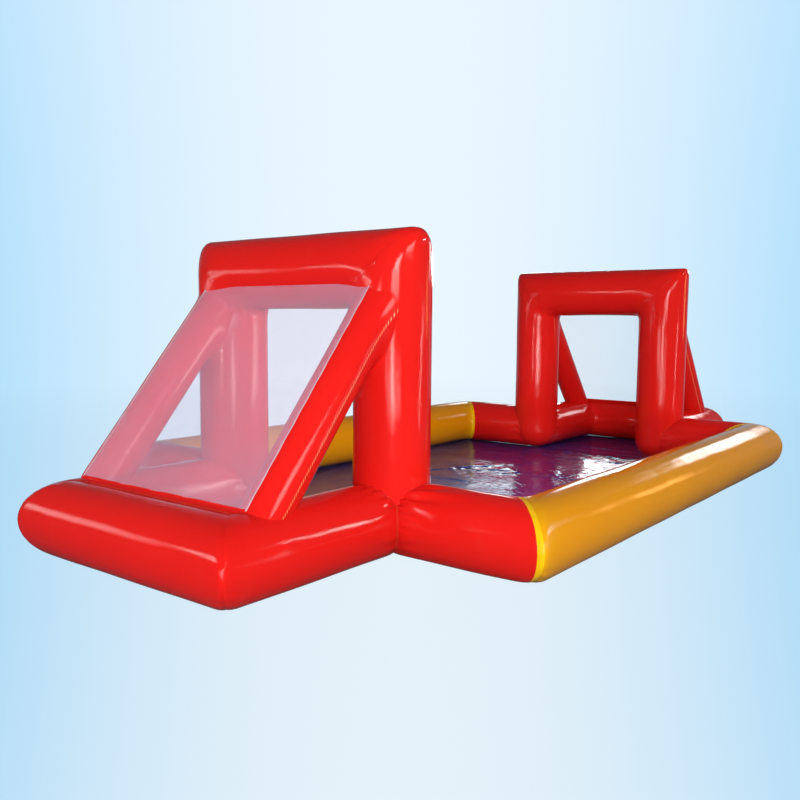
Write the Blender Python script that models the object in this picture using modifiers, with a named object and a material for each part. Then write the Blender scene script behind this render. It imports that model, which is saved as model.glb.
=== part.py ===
"""Inflatable football pitch: a ring of air tubes round a floor sheet, with a goal at each short end.

Units are metres and +Z is up. +X runs along the pitch, from the near goal to the far goal, and +Y
across it, from the right wall to the left wall. The origin is on the ground, at the middle of the
pitch. Every air tube is a skin of coated fabric, open where it meets the next tube, and cut to it
by a mitre or a saddle. A valve is built on its own axis, with heights measured outwards from the
skin's outer face, and then set in its tube.
"""
import math

import bmesh
import bpy
from mathutils import Matrix, Vector

# Skin, seams and clearances
SKIN = 0.0009
SEAM_GAP = 0.0003
RUNNING_GAP = 0.0004
OVERRUN = 1.5
TUCK = 0.06
SMOOTH_ANGLE = math.radians(35)

# Pitch ring: lengths run between the tubes' axes
RING_TUBE_DIAMETER = 0.49
RING_LENGTH = 4.75
RING_WIDTH = 3.54
SIDES_PER_QUARTER = 6

# Goals: the depth runs from the posts' axes to the back base tube's axis
GOAL_WIDTH = 1.52
GOAL_DEPTH = 1.38
GOAL_TUBE_DIAMETER = 0.51
CROSSBAR_HEIGHT = 1.835
STRUT_DIAMETER = 0.286
STRUT_SIDES = 20
STRUT_HEAD_DROP = 0.045
STRUT_FOOT_INSET = 0.10

# Nets
NET_THICKNESS = 0.001
NET_EDGE = 0.015
HEM_THICKNESS = 0.0015
HEM_WIDTH = 0.045

# Valve body
VALVE_STEPS = 20
VALVE_BORE_DIAMETER = 0.026
NECK_WALL = 0.003
NECK_RIM = 0.0013
THROAT_WALL = 0.0035
THROAT_DEPTH = 0.024
FLANGE_WIDTH = 0.0105
FLANGE_THICKNESS = 0.0027
SEAT_WIDTH = 0.0025
SEAT_THICKNESS = 0.003
LUG_WIDTH = 0.005
LUG_HEIGHT = 0.0014
LUG_STAND_OUT = 0.0011
LUG_ENTRY = 0.002
SPOKES = 3
SPOKE_WIDTH = 0.0025
HUB_WALL = 0.0024
HUB_HEIGHT = 0.004
NUT_WIDTH = 0.007
NUT_THICKNESS = 0.004

# Valve plunger, seal and spring
STEM_DIAMETER = 0.0044
BUTTON_RECESS = 0.005
BUTTON_THICKNESS = 0.002
BUTTON_OVERHANG = 0.0016
DISC_OVERLAP = 0.0013
DISC_THICKNESS = 0.002
SEAL_WIDTH = 0.003
SEAL_THICKNESS = 0.0012
SPRING_WIRE = 0.0008
SPRING_CLEARANCE = 0.0012
SPRING_HEIGHT = 0.0125
SPRING_TURNS = 4.5
SPRING_POINTS = 9

# Valve cap and its strap
CAP_WALL = 0.0018
CAP_LIP = 0.0012
CAP_TOP_THICKNESS = 0.0025
GRIP_LENGTH = 0.030
GRIP_WIDTH = 0.005
GRIP_HEIGHT = 0.006
TETHER_THICKNESS = 0.0012
TETHER_RING_WIDTH = 0.0028
STRAP_WIDTH = 0.006
STRAP_THICKNESS = 0.001
STRAP_REACH = 0.006
STRAP_BULGE = 0.004
STRAP_STEPS = 8

# Values worked out from the driving sizes
TUBE_SIDES = 4 * SIDES_PER_QUARTER
HALF_SIDE = math.pi / TUBE_SIDES
RING_RADIUS = RING_TUBE_DIAMETER / 2
RING_FLAT = RING_RADIUS * math.cos(HALF_SIDE)
TUBE_AXIS = RING_FLAT
GOAL_RADIUS = GOAL_TUBE_DIAMETER / 2
STRUT_RADIUS = STRUT_DIAMETER / 2
END_X = RING_LENGTH / 2
SIDE_Y = RING_WIDTH / 2
GOAL_Y = GOAL_WIDTH / 2
BACK_X = END_X + GOAL_DEPTH
BORE_RADIUS = VALVE_BORE_DIAMETER / 2
NECK_RADIUS = BORE_RADIUS + NECK_WALL
THROAT_RADIUS = BORE_RADIUS + THROAT_WALL
SEAT_RADIUS = BORE_RADIUS - SEAT_WIDTH
DISC_RADIUS = SEAT_RADIUS + DISC_OVERLAP
STEM_RADIUS = STEM_DIAMETER / 2
FLANGE_TOP = SEAM_GAP + FLANGE_THICKNESS
TETHER_LOW = FLANGE_TOP + SEAM_GAP
SKIRT_LOW = TETHER_LOW + TETHER_THICKNESS + SEAM_GAP
LUG_LOW = SKIRT_LOW + LUG_ENTRY
NECK_TOP = LUG_LOW + LUG_HEIGHT + NECK_RIM
BUTTON_TOP = NECK_TOP - BUTTON_RECESS
BUTTON_LOW = BUTTON_TOP - BUTTON_THICKNESS
HUB_TOP = BUTTON_LOW - SPRING_HEIGHT
SEAL_TOP = -THROAT_DEPTH - SEAM_GAP
SEAL_BORE_RADIUS = DISC_RADIUS - SEAL_WIDTH
CAP_BORE_RADIUS = NECK_RADIUS + RUNNING_GAP
GROOVE_RADIUS = CAP_BORE_RADIUS + LUG_STAND_OUT
WAIST_RADIUS = GROOVE_RADIUS + CAP_WALL
CAP_RADIUS = WAIST_RADIUS + CAP_LIP
CAP_INNER_TOP = NECK_TOP + RUNNING_GAP
CAP_TOP = CAP_INNER_TOP + CAP_TOP_THICKNESS
WAIST_LOW = CAP_INNER_TOP - CAP_LIP
WAIST_TOP = WAIST_LOW + TETHER_THICKNESS + 2 * RUNNING_GAP
TETHER_RADIUS = CAP_RADIUS + TETHER_RING_WIDTH

# The near goal is at -X and the right wall at -Y
ENDWARD = {"near": -1, "far": 1}
LATERAL = {"right": -1, "left": 1}

# Looks: base colour and roughness
RED = ((0.86, 0.03, 0.02), 0.25)
YELLOW = ((0.85, 0.42, 0.01), 0.25)
BLUE = ((0.01, 0.015, 0.09), 0.15)
MESH_WHITE = ((0.72, 0.80, 0.95), 0.7)
VALVE_GREY = ((0.12, 0.12, 0.13), 0.5)
RUBBER_BLACK = ((0.02, 0.02, 0.02), 0.8)
STEEL = ((0.6, 0.6, 0.6), 0.3)


# Scene helpers

def clear_scene():
    """Removes what the file holds and makes the collections for the parts and the cutters."""
    for old in list(bpy.data.objects):
        bpy.data.objects.remove(old)
    collections = []
    for name in ("inflatable_football_pitch", "cutters"):
        collection = bpy.data.collections.new(name)
        bpy.context.scene.collection.children.link(collection)
        collections.append(collection)
    return collections


PARTS, CUTTERS = clear_scene()


def paint(obj, look, metallic=0.0):
    """Gives a part its own Principled material."""
    colour, roughness = look
    material = bpy.data.materials.new(obj.name)
    material.use_nodes = True
    shader = material.node_tree.nodes["Principled BSDF"]
    shader.inputs["Base Color"].default_value = (*colour, 1.0)
    shader.inputs["Roughness"].default_value = roughness
    shader.inputs["Metallic"].default_value = metallic
    obj.data.materials.append(material)


def object_from(bm, name, collection):
    """Turns a bmesh into an object of the collection, shaded smooth where its faces meet softly."""
    mesh = bpy.data.meshes.new(name)
    bm.to_mesh(mesh)
    bm.free()
    mesh.shade_smooth()
    mesh.set_sharp_from_angle(angle=SMOOTH_ANGLE)
    obj = bpy.data.objects.new(name, mesh)
    collection.objects.link(obj)
    if collection is CUTTERS:
        obj.hide_render = True
        obj.display_type = "WIRE"
    return obj


def box(name, corner, opposite, collection=PARTS):
    """A box between two opposite corners, with its origin at its middle."""
    corner, opposite = Vector(corner), Vector(opposite)
    size = Vector([abs(length) for length in opposite - corner])
    bm = bmesh.new()
    bmesh.ops.create_cube(bm, size=1.0)
    bmesh.ops.scale(bm, vec=size, verts=bm.verts)
    obj = object_from(bm, name, collection)
    obj.location = (corner + opposite) / 2
    return obj


def turned(name, profile, collection=PARTS, steps=VALVE_STEPS, ring=True):
    """A turned solid from (radius, height) points that run down its outer side."""
    bm = bmesh.new()
    points = [bm.verts.new((radius, 0, height)) for radius, height in profile]
    for first, second in zip(points, points[1:]):
        bm.edges.new((first, second))
    if ring:
        bm.edges.new((points[-1], points[0]))
    obj = object_from(bm, name, collection)
    screw = obj.modifiers.new("turn", "SCREW")
    screw.steps = steps
    screw.render_steps = steps
    screw.use_merge_vertices = True
    screw.merge_threshold = 0.00001
    return obj


def ring_profile(inner, outer, low, high):
    """The section of a plain ring, for a turned solid."""
    return [(outer, high), (outer, low), (inner, low), (inner, high)]


def along(direction, flat_side):
    """A rotation that sends +Z to a direction and +X as near as it can to flat_side."""
    z_axis = Vector(direction).normalized()
    x_axis = Vector(flat_side)
    x_axis = (x_axis - x_axis.dot(z_axis) * z_axis).normalized()
    return Matrix((x_axis, z_axis.cross(x_axis), z_axis)).transposed()


def prism(name, start, end, radius, sides, flat_side, closed, collection):
    """A prism between two points, whose side that faces flat_side is flat."""
    start, end = Vector(start), Vector(end)
    length = (end - start).length
    bm = bmesh.new()
    bmesh.ops.create_cone(bm, cap_ends=closed, segments=sides, radius1=radius, radius2=radius,
                          depth=length)
    # the primitive has a corner at +Y: a quarter turn and half a side bring a flat round to +X
    turn = Matrix.Rotation(math.pi / 2 + math.pi / sides, 3, "Z")
    bmesh.ops.rotate(bm, matrix=turn, verts=bm.verts)
    bmesh.ops.translate(bm, vec=(0, 0, length / 2), verts=bm.verts)
    obj = object_from(bm, name, collection)
    obj.matrix_world = Matrix.Translation(start) @ along(end - start, flat_side).to_4x4()
    return obj


def combine(obj, operation, others):
    """Runs the same Boolean on a part with each of the other solids in turn."""
    for other in others:
        modifier = obj.modifiers.new(other.name, "BOOLEAN")
        modifier.operation = operation
        modifier.solver = "EXACT"
        modifier.object = other


def cut(obj, cutters):
    """Cuts a part with each cutter in turn."""
    combine(obj, "DIFFERENCE", cutters)


def weld(obj, others):
    """Joins helper solids to a part as one body."""
    combine(obj, "UNION", others)


def thicken(obj):
    """Gives an open surface the skin's thickness, inwards."""
    modifier = obj.modifiers.new("skin", "SOLIDIFY")
    modifier.thickness = SKIN
    modifier.offset = -1.0
    modifier.use_even_offset = True


def air_tube(name, start, end, radius, look, cutters):
    """A level air tube with a flat below, cut where it meets its neighbours."""
    tube = prism(name, start, end, radius, TUBE_SIDES, (0, 0, 1), False, PARTS)
    thicken(tube)
    cut(tube, cutters)
    paint(tube, look)
    return tube


def mitre(name, point, normal):
    """A cutter that removes what lies beyond a plane, and half the seam's gap before it."""
    size = 2 * (RING_TUBE_DIAMETER + GOAL_TUBE_DIAMETER)
    block = box(name, (-size, -size, -SEAM_GAP / 2), (size, size, size), CUTTERS)
    turn = Vector((0, 0, 1)).rotation_difference(Vector(normal)).to_matrix().to_4x4()
    block.matrix_world = Matrix.Translation(point) @ turn @ Matrix.Translation(block.location)
    return block


def tube_space(name, start, end, radius):
    """A cutter with a level tube's outer shape and the seam's gap all round it."""
    wider = radius + SEAM_GAP / math.cos(HALF_SIDE)
    return prism(name, start, end, wider, TUBE_SIDES, (0, 0, 1), True, CUTTERS)


# Where the tubes' axes meet

def ring_corner(end, side):
    """The crossing of a side tube's axis and an end tube's axis."""
    return Vector((ENDWARD[end] * END_X, LATERAL[side] * SIDE_Y, TUBE_AXIS))


def post_foot(end, side):
    """The crossing of a post's axis with those of the end tube and of the goal's base."""
    return Vector((ENDWARD[end] * END_X, LATERAL[side] * GOAL_Y, TUBE_AXIS))


def base_corner(end, side):
    """The crossing of the axes of the goal's side base tube and back base tube."""
    return Vector((ENDWARD[end] * BACK_X, LATERAL[side] * GOAL_Y, TUBE_AXIS))


def crossbar_corner(end, side):
    """The crossing of a post's axis and the crossbar's axis."""
    return Vector((ENDWARD[end] * END_X, LATERAL[side] * GOAL_Y, CROSSBAR_HEIGHT))


# Spaces of tubes that several others are cut to

def post_profile(top, margin):
    """A post's side from a height down round its foot, with a margin outside it.

    The foot's corners lie at the heights of the ring tubes' corners, so it covers the tubes' ends.
    """
    radius = GOAL_RADIUS + margin / math.cos(HALF_SIDE)
    drop = (TUBE_AXIS + margin) / math.cos(HALF_SIDE)
    profile = [(radius, top), (radius, TUBE_AXIS)]
    for number in reversed(range(SIDES_PER_QUARTER)):
        angle = (2 * number + 1) * HALF_SIDE
        profile.append((radius * math.sin(angle), TUBE_AXIS - drop * math.cos(angle)))
    profile.append((0.0, -margin))
    return profile


def post_space(end, side):
    """The space of a post, for the tubes, the strut, the net and the floor that meet it."""
    top = CROSSBAR_HEIGHT + GOAL_RADIUS
    profile = [(0.0, top), *post_profile(top, SEAM_GAP)]
    space = turned(f"post_space_{end}_{side}", profile, CUTTERS, TUBE_SIDES, ring=False)
    corner = crossbar_corner(end, side)
    space.location = (corner.x, corner.y, 0)
    space.rotation_euler.z = HALF_SIDE
    return space


def crossbar_space(end):
    """The space of a crossbar, for the struts and the net that meet it."""
    beyond = Vector((0, GOAL_RADIUS, 0))
    return tube_space(f"crossbar_space_{end}", crossbar_corner(end, "right") - beyond,
                      crossbar_corner(end, "left") + beyond, GOAL_RADIUS)


def base_side_space(end, side):
    """The space of a goal's side base tube, for the strut and the hem that stand on it."""
    return tube_space(f"base_side_space_{end}_{side}", post_foot(end, side), base_corner(end, side),
                      RING_RADIUS)


def base_back_space(end):
    """The space of a goal's back base tube, for the struts and the hem that meet it."""
    beyond = Vector((0, RING_RADIUS, 0))
    return tube_space(f"base_back_space_{end}", base_corner(end, "right") - beyond,
                      base_corner(end, "left") + beyond, RING_RADIUS)


# Pitch ring

def build_side_tube(side):
    """A long yellow wall, mitred to the end tubes at both corners."""
    mitres = []
    for end, endward in ENDWARD.items():
        normal = (endward, -LATERAL[side], 0)
        mitres.append(mitre(f"ring_mitre_side_{end}_{side}", ring_corner(end, side), normal))
    beyond = Vector((RING_RADIUS * OVERRUN, 0, 0))
    air_tube(f"side_tube_{side}", ring_corner("near", side) - beyond, ring_corner("far", side) + beyond,
             RING_RADIUS, YELLOW, mitres)


def build_end_tube(end, side, post):
    """A red wall from a goal post to a corner of the ring, not reaching past the post's middle."""
    foot, corner = post_foot(end, side), ring_corner(end, side)
    endward, lateral = ENDWARD[end], LATERAL[side]
    cutters = [
        mitre(f"ring_mitre_end_{end}_{side}", corner, (-endward, lateral, 0)),
        mitre(f"goal_mitre_end_{end}_{side}", foot, (endward, -lateral, 0)),
        mitre(f"goal_stop_end_{end}_{side}", foot, (0, -lateral, 0)),
        post,
    ]
    beyond = Vector((0, lateral * RING_RADIUS * OVERRUN, 0))
    return air_tube(f"end_tube_{end}_{side}", foot, corner + beyond, RING_RADIUS, RED, cutters)


# Goals

def build_base_side(end, side, post):
    """A floor tube beside the goal, from the post to the back corner."""
    foot, corner = post_foot(end, side), base_corner(end, side)
    endward, lateral = ENDWARD[end], LATERAL[side]
    cutters = [
        mitre(f"goal_mitre_base_{end}_{side}", foot, (-endward, lateral, 0)),
        mitre(f"goal_stop_base_{end}_{side}", foot, (-endward, 0, 0)),
        mitre(f"back_mitre_side_{end}_{side}", corner, (endward, -lateral, 0)),
        post,
    ]
    beyond = Vector((endward * RING_RADIUS * OVERRUN, 0, 0))
    return air_tube(f"goal_base_side_{end}_{side}", foot, corner + beyond, RING_RADIUS, RED, cutters)


def build_base_back(end):
    """The floor tube behind the goal, mitred to the two side base tubes."""
    mitres = []
    for side, lateral in LATERAL.items():
        normal = (-ENDWARD[end], lateral, 0)
        mitres.append(mitre(f"back_mitre_back_{end}_{side}", base_corner(end, side), normal))
    beyond = Vector((0, RING_RADIUS * OVERRUN, 0))
    air_tube(f"goal_base_back_{end}", base_corner(end, "right") - beyond,
             base_corner(end, "left") + beyond, RING_RADIUS, RED, mitres)


def build_post(end, side):
    """A goal post: a rounded foot on the ground, and a mitre to the crossbar at the top."""
    corner = crossbar_corner(end, side)
    profile = post_profile(CROSSBAR_HEIGHT + GOAL_RADIUS * OVERRUN, 0.0)
    post = turned(f"goal_post_{end}_{side}", profile, PARTS, TUBE_SIDES, ring=False)
    post.location = (corner.x, corner.y, 0)
    post.rotation_euler.z = HALF_SIDE
    thicken(post)
    cut(post, [mitre(f"bar_mitre_post_{end}_{side}", corner, (0, -LATERAL[side], 1))])
    paint(post, RED)


def build_crossbar(end):
    """The tube across the top of a goal, mitred to both posts."""
    mitres = []
    for side, lateral in LATERAL.items():
        corner = crossbar_corner(end, side)
        mitres.append(mitre(f"bar_mitre_bar_{end}_{side}", corner, (0, lateral, -1)))
    beyond = Vector((0, GOAL_RADIUS * OVERRUN, 0))
    air_tube(f"goal_crossbar_{end}", crossbar_corner(end, "right") - beyond,
             crossbar_corner(end, "left") + beyond, GOAL_RADIUS, RED, mitres)


def strut_line(end, across):
    """A strut's axis: its head on the post's axis, and its foot at the base tubes' height."""
    endward = ENDWARD[end]
    head = Vector((endward * END_X, across, CROSSBAR_HEIGHT - STRUT_HEAD_DROP))
    foot = Vector((endward * (BACK_X - STRUT_FOOT_INSET), across, TUBE_AXIS))
    return head, foot


def back_plane(end):
    """The inclined plane on the struts' flats: its direction down, its normal and its top point."""
    head, foot = strut_line(end, 0.0)
    down = (foot - head).normalized()
    normal = Vector((0, -ENDWARD[end], 0)).cross(down)
    flat = STRUT_RADIUS * math.cos(math.pi / STRUT_SIDES)
    return down, normal, head + normal * (flat + SEAM_GAP)


def build_strut(end, side, cutters):
    """An inclined tube from the top of a post to the back corner of the base."""
    head, foot = strut_line(end, LATERAL[side] * GOAL_Y)
    normal = back_plane(end)[1]
    strut = prism(f"goal_strut_{end}_{side}", head, foot, STRUT_RADIUS, STRUT_SIDES, normal, False, PARTS)
    thicken(strut)
    cut(strut, cutters)
    paint(strut, RED)


# Nets

def plane_panel(name, end, upper, lower, thickness, look, cutters):
    """A flat panel on the goal's inclined back, between two distances down the plane."""
    down, normal, start = back_plane(end)
    half_width = GOAL_Y + NET_EDGE
    panel = box(name, (-half_width, upper, 0), (half_width, lower, thickness))
    axes = Matrix((down.cross(normal), down, normal)).transposed()
    panel.matrix_world = Matrix.Translation(start) @ axes.to_4x4() @ Matrix.Translation(panel.location)
    cut(panel, cutters)
    paint(panel, look)


def tube_crossing(end, centre, radius, sign):
    """How far down the back plane it crosses a level tube, on the tube's upper or lower side."""
    down, normal, start = back_plane(end)
    towards = centre - start
    towards.y = 0
    across = towards.dot(normal)
    return towards.dot(down) + sign * math.sqrt(radius ** 2 - across ** 2)


def build_net(end, upper_spaces, lower_spaces):
    """The mesh panel, from the crossbar down to its hem, and the hem down to the back base tube."""
    top = tube_crossing(end, crossbar_corner(end, "right"), GOAL_RADIUS, 1)
    bottom = tube_crossing(end, base_corner(end, "right"), RING_RADIUS, -1)
    seam = bottom - HEM_WIDTH
    plane_panel(f"goal_net_{end}", end, top - TUCK, seam - SEAM_GAP, NET_THICKNESS, MESH_WHITE,
                upper_spaces)
    plane_panel(f"net_hem_{end}", end, seam, bottom + TUCK, HEM_THICKNESS, RED, lower_spaces)


# Floor

def build_floor(post_spaces):
    """The pitch's sheet and its continuation into each goal, flat on the ground between the tubes."""
    half_flat = max(RING_RADIUS, GOAL_RADIUS) * math.sin(HALF_SIDE)
    rise = 2 * HALF_SIDE
    inset = half_flat + (SKIN + SEAM_GAP / math.cos(rise)) / math.tan(rise)
    half_x, half_y = END_X - inset, SIDE_Y - inset
    main = box("floor_main", (-half_x, -half_y, 0), (half_x, half_y, SKIN))
    cut(main, post_spaces.values())
    paint(main, BLUE)
    for end, endward in ENDWARD.items():
        goal_half_y = GOAL_Y - inset
        apron = box(f"floor_goal_{end}", (endward * (half_x + SEAM_GAP), -goal_half_y, 0),
                    (endward * (BACK_X - inset), goal_half_y, SKIN))
        cut(apron, [post_spaces[end, side] for side in LATERAL])
        paint(apron, BLUE)


# Valve: each maker returns the piece and the helper solids that it is made with

def valve_body(name):
    """The body: flange, throat through the skin, neck with two lugs, seat and stem guide."""
    bottom = -THROAT_DEPTH
    body = turned(name, [
        (NECK_RADIUS, NECK_TOP),
        (NECK_RADIUS, FLANGE_TOP),
        (THROAT_RADIUS + FLANGE_WIDTH, FLANGE_TOP),
        (THROAT_RADIUS + FLANGE_WIDTH, SEAM_GAP),
        (THROAT_RADIUS, SEAM_GAP),
        (THROAT_RADIUS, bottom),
        (SEAT_RADIUS, bottom),
        (SEAT_RADIUS, bottom + SEAT_THICKNESS),
        (BORE_RADIUS, bottom + SEAT_THICKNESS),
        (BORE_RADIUS, NECK_TOP),
    ])
    hub_bore = STEM_RADIUS + RUNNING_GAP
    hub_radius = hub_bore + HUB_WALL
    hub_low = HUB_TOP - HUB_HEIGHT
    hub = turned(name + "_hub", ring_profile(hub_bore, hub_radius, hub_low, HUB_TOP), CUTTERS)
    helpers = [hub]
    for number in range(SPOKES):
        spoke = box(f"{name}_spoke_{number}", (hub_radius - RUNNING_GAP, -SPOKE_WIDTH / 2, hub_low),
                    (BORE_RADIUS + RUNNING_GAP, SPOKE_WIDTH / 2, HUB_TOP), CUTTERS)
        turn = Matrix.Rotation(number * 2 * math.pi / SPOKES, 4, "Z")
        spoke.matrix_world = turn @ Matrix.Translation(spoke.location)
        helpers.append(spoke)
    for number, sign in enumerate((1, -1)):
        lug = box(f"{name}_lug_{number}", (sign * (NECK_RADIUS - RUNNING_GAP), -LUG_WIDTH / 2, LUG_LOW),
                  (sign * (NECK_RADIUS + LUG_STAND_OUT), LUG_WIDTH / 2, LUG_LOW + LUG_HEIGHT), CUTTERS)
        helpers.append(lug)
    weld(body, helpers)
    paint(body, VALVE_GREY)
    return body, helpers


def valve_nut(name):
    """The ring that clamps the skin against the flange from inside."""
    top = -SKIN - SEAM_GAP
    nut = turned(name, ring_profile(THROAT_RADIUS + SEAM_GAP, THROAT_RADIUS + NUT_WIDTH,
                                    top - NUT_THICKNESS, top))
    paint(nut, VALVE_GREY)
    return nut, []


def valve_plunger(name):
    """The stem with its push button above and its sealing disc below the seat."""
    disc_top = SEAL_TOP - SEAL_THICKNESS - SEAM_GAP
    button_radius = STEM_RADIUS + SPRING_CLEARANCE + SPRING_WIRE + BUTTON_OVERHANG
    boss_radius = SEAL_BORE_RADIUS - SEAM_GAP
    plunger = turned(name, [
        (0.0, BUTTON_TOP),
        (button_radius, BUTTON_TOP),
        (button_radius, BUTTON_LOW),
        (STEM_RADIUS, BUTTON_LOW),
        (STEM_RADIUS, SEAL_TOP - SEAM_GAP),
        (boss_radius, SEAL_TOP - SEAM_GAP),
        (boss_radius, disc_top),
        (DISC_RADIUS, disc_top),
        (DISC_RADIUS, disc_top - DISC_THICKNESS),
        (0.0, disc_top - DISC_THICKNESS),
    ], ring=False)
    paint(plunger, VALVE_GREY)
    return plunger, []


def valve_seal(name):
    """The rubber ring on the disc, which closes on the seat."""
    seal = turned(name, ring_profile(SEAL_BORE_RADIUS, DISC_RADIUS, SEAL_TOP - SEAL_THICKNESS, SEAL_TOP))
    paint(seal, RUBBER_BLACK)
    return seal, []


def valve_spring(name):
    """The coil round the stem, between the stem guide and the button."""
    radius = STEM_RADIUS + SPRING_CLEARANCE + SPRING_WIRE / 2
    low = HUB_TOP + SEAM_GAP + SPRING_WIRE / 2
    high = BUTTON_LOW - SEAM_GAP - SPRING_WIRE / 2
    steps = round(SPRING_TURNS * SPRING_POINTS)
    curve = bpy.data.curves.new(name, "CURVE")
    curve.dimensions = "3D"
    curve.bevel_depth = SPRING_WIRE / 2
    curve.bevel_resolution = 1
    curve.use_fill_caps = True
    line = curve.splines.new("POLY")
    line.points.add(steps)
    for number, point in enumerate(line.points):
        angle = 2 * math.pi * number / SPRING_POINTS
        height = low + (high - low) * number / steps
        point.co = (radius * math.cos(angle), radius * math.sin(angle), height, 1)
    spring = bpy.data.objects.new(name, curve)
    PARTS.objects.link(spring)
    paint(spring, STEEL, metallic=1.0)
    return spring, []


def valve_cap(name):
    """The quarter turn cap: a skirt with a groove for the lugs, two entry slots and a grip."""
    cap = turned(name, [
        (0.0, CAP_TOP),
        (CAP_RADIUS, CAP_TOP),
        (CAP_RADIUS, WAIST_TOP),
        (WAIST_RADIUS, WAIST_TOP),
        (WAIST_RADIUS, WAIST_LOW),
        (CAP_RADIUS, WAIST_LOW),
        (CAP_RADIUS, SKIRT_LOW),
        (CAP_BORE_RADIUS, SKIRT_LOW),
        (CAP_BORE_RADIUS, LUG_LOW - RUNNING_GAP),
        (GROOVE_RADIUS, LUG_LOW - RUNNING_GAP),
        (GROOVE_RADIUS, CAP_INNER_TOP),
        (0.0, CAP_INNER_TOP),
    ], ring=False)
    grip = box(name + "_grip", (-GRIP_LENGTH / 2, -GRIP_WIDTH / 2, CAP_TOP - RUNNING_GAP),
               (GRIP_LENGTH / 2, GRIP_WIDTH / 2, CAP_TOP + GRIP_HEIGHT), CUTTERS)
    half_slot = LUG_WIDTH / 2 + 2 * RUNNING_GAP
    slots = []
    for number, sign in enumerate((1, -1)):
        slot = box(f"{name}_slot_{number}",
                   (-half_slot, sign * (CAP_BORE_RADIUS - RUNNING_GAP), SKIRT_LOW - RUNNING_GAP),
                   (half_slot, sign * (GROOVE_RADIUS + RUNNING_GAP), LUG_LOW), CUTTERS)
        slots.append(slot)
    weld(cap, [grip])
    cut(cap, slots)
    paint(cap, VALVE_GREY)
    return cap, [grip, *slots]


def strap_path(low, high):
    """The strap's way from the upper ring out, round its bight and back to the lower ring."""
    start = CAP_RADIUS + TETHER_RING_WIDTH / 2
    path = [(start, high)]
    for number in range(STRAP_STEPS + 1):
        angle = math.pi / 2 - number * math.pi / STRAP_STEPS
        radius = start + STRAP_REACH + STRAP_BULGE * math.cos(angle)
        path.append((radius, (low + high) / 2 + (high - low) / 2 * math.sin(angle)))
    path.append((start, low))
    return path


def valve_tether(name):
    """The strap that keeps the cap: a ring in the cap's waist, a ring on the neck and a bight."""
    upper_low = WAIST_LOW + RUNNING_GAP
    tether = turned(name, ring_profile(WAIST_RADIUS + RUNNING_GAP, TETHER_RADIUS,
                                       upper_low, upper_low + TETHER_THICKNESS))
    lower_ring = turned(name + "_lower_ring", ring_profile(
        NECK_RADIUS + SEAM_GAP, TETHER_RADIUS, TETHER_LOW, TETHER_LOW + TETHER_THICKNESS), CUTTERS)
    path = strap_path(TETHER_LOW + TETHER_THICKNESS / 2, upper_low + TETHER_THICKNESS / 2)
    bm = bmesh.new()
    edges = []
    for across in (-STRAP_WIDTH / 2, STRAP_WIDTH / 2):
        edges.append([bm.verts.new((radius, across, height)) for radius, height in path])
    for number in range(len(path) - 1):
        bm.faces.new((edges[0][number], edges[0][number + 1], edges[1][number + 1], edges[1][number]))
    strap = object_from(bm, name + "_strap", CUTTERS)
    wall = strap.modifiers.new("strap", "SOLIDIFY")
    wall.thickness = STRAP_THICKNESS
    wall.offset = 0.0
    weld(tether, [lower_ring, strap])
    paint(tether, RUBBER_BLACK)
    return tether, [lower_ring, strap]


def build_valve(label, tube, centre, outward):
    """A valve in a tube's skin, on an empty whose +Z is the valve's axis, pointing out."""
    axis = bpy.data.objects.new(f"valve_axis_{label}", None)
    PARTS.objects.link(axis)
    axis.matrix_world = Matrix.Translation(centre) @ along(outward, (0, 0, 1)).to_4x4()
    makers = (
        ("body", valve_body),
        ("nut", valve_nut),
        ("plunger", valve_plunger),
        ("seal", valve_seal),
        ("spring", valve_spring),
        ("cap", valve_cap),
        ("tether", valve_tether),
    )
    for piece, maker in makers:
        solid, helpers = maker(f"valve_{piece}_{label}")
        for obj in (solid, *helpers):
            obj.parent = axis
    hole = prism(f"valve_hole_{label}", (0, 0, -THROAT_DEPTH), (0, 0, THROAT_DEPTH),
                 THROAT_RADIUS + SEAM_GAP, VALVE_STEPS, (1, 0, 0), True, CUTTERS)
    hole.parent = axis
    cut(tube, [hole])


# Whole pitch

def build_goal(end, posts):
    """One goal with its base, struts and net; returns the left side base tube, which has the valve."""
    base_sides = {}
    for side in LATERAL:
        base_sides[side] = build_base_side(end, side, posts[end, side])
        build_post(end, side)
    build_base_back(end)
    build_crossbar(end)
    bar = crossbar_space(end)
    back = base_back_space(end)
    side_spaces = {side: base_side_space(end, side) for side in LATERAL}
    for side in LATERAL:
        build_strut(end, side, [posts[end, side], bar, side_spaces[side], back])
    goal_posts = [posts[end, side] for side in LATERAL]
    build_net(end, [bar, *goal_posts], [back, *side_spaces.values()])
    return base_sides["left"]


def build_pitch():
    """Builds every sub-part of the pitch."""
    posts = {(end, side): post_space(end, side) for end in ENDWARD for side in LATERAL}
    for side in LATERAL:
        build_side_tube(side)
    end_tubes = {place: build_end_tube(*place, posts[place]) for place in posts}
    ring_place = Vector((END_X + RING_FLAT, (GOAL_Y + SIDE_Y) / 2, TUBE_AXIS))
    build_valve("ring", end_tubes["far", "left"], ring_place, (1, 0, 0))
    for end, endward in ENDWARD.items():
        base_side = build_goal(end, posts)
        place = Vector((endward * (END_X + GOAL_DEPTH / 2), GOAL_Y + RING_FLAT, TUBE_AXIS))
        build_valve(f"goal_{end}", base_side, place, (0, 1, 0))
    build_floor(posts)


build_pitch()
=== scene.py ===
"""Dresses the inflatable football pitch: air tubes, nets, floor sheet, valves, lights and camera.

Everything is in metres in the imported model's frame: +X from the near goal to the far one, +Y from
the right wall to the left wall, +Z up, with the origin on the ground at the middle of the pitch.
"""

import logging
import math
from dataclasses import dataclass
from enum import Enum
from itertools import product
from typing import Any, Callable, Sequence

import bmesh
import bpy
import numpy as np
from mathutils import Matrix, Vector


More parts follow.
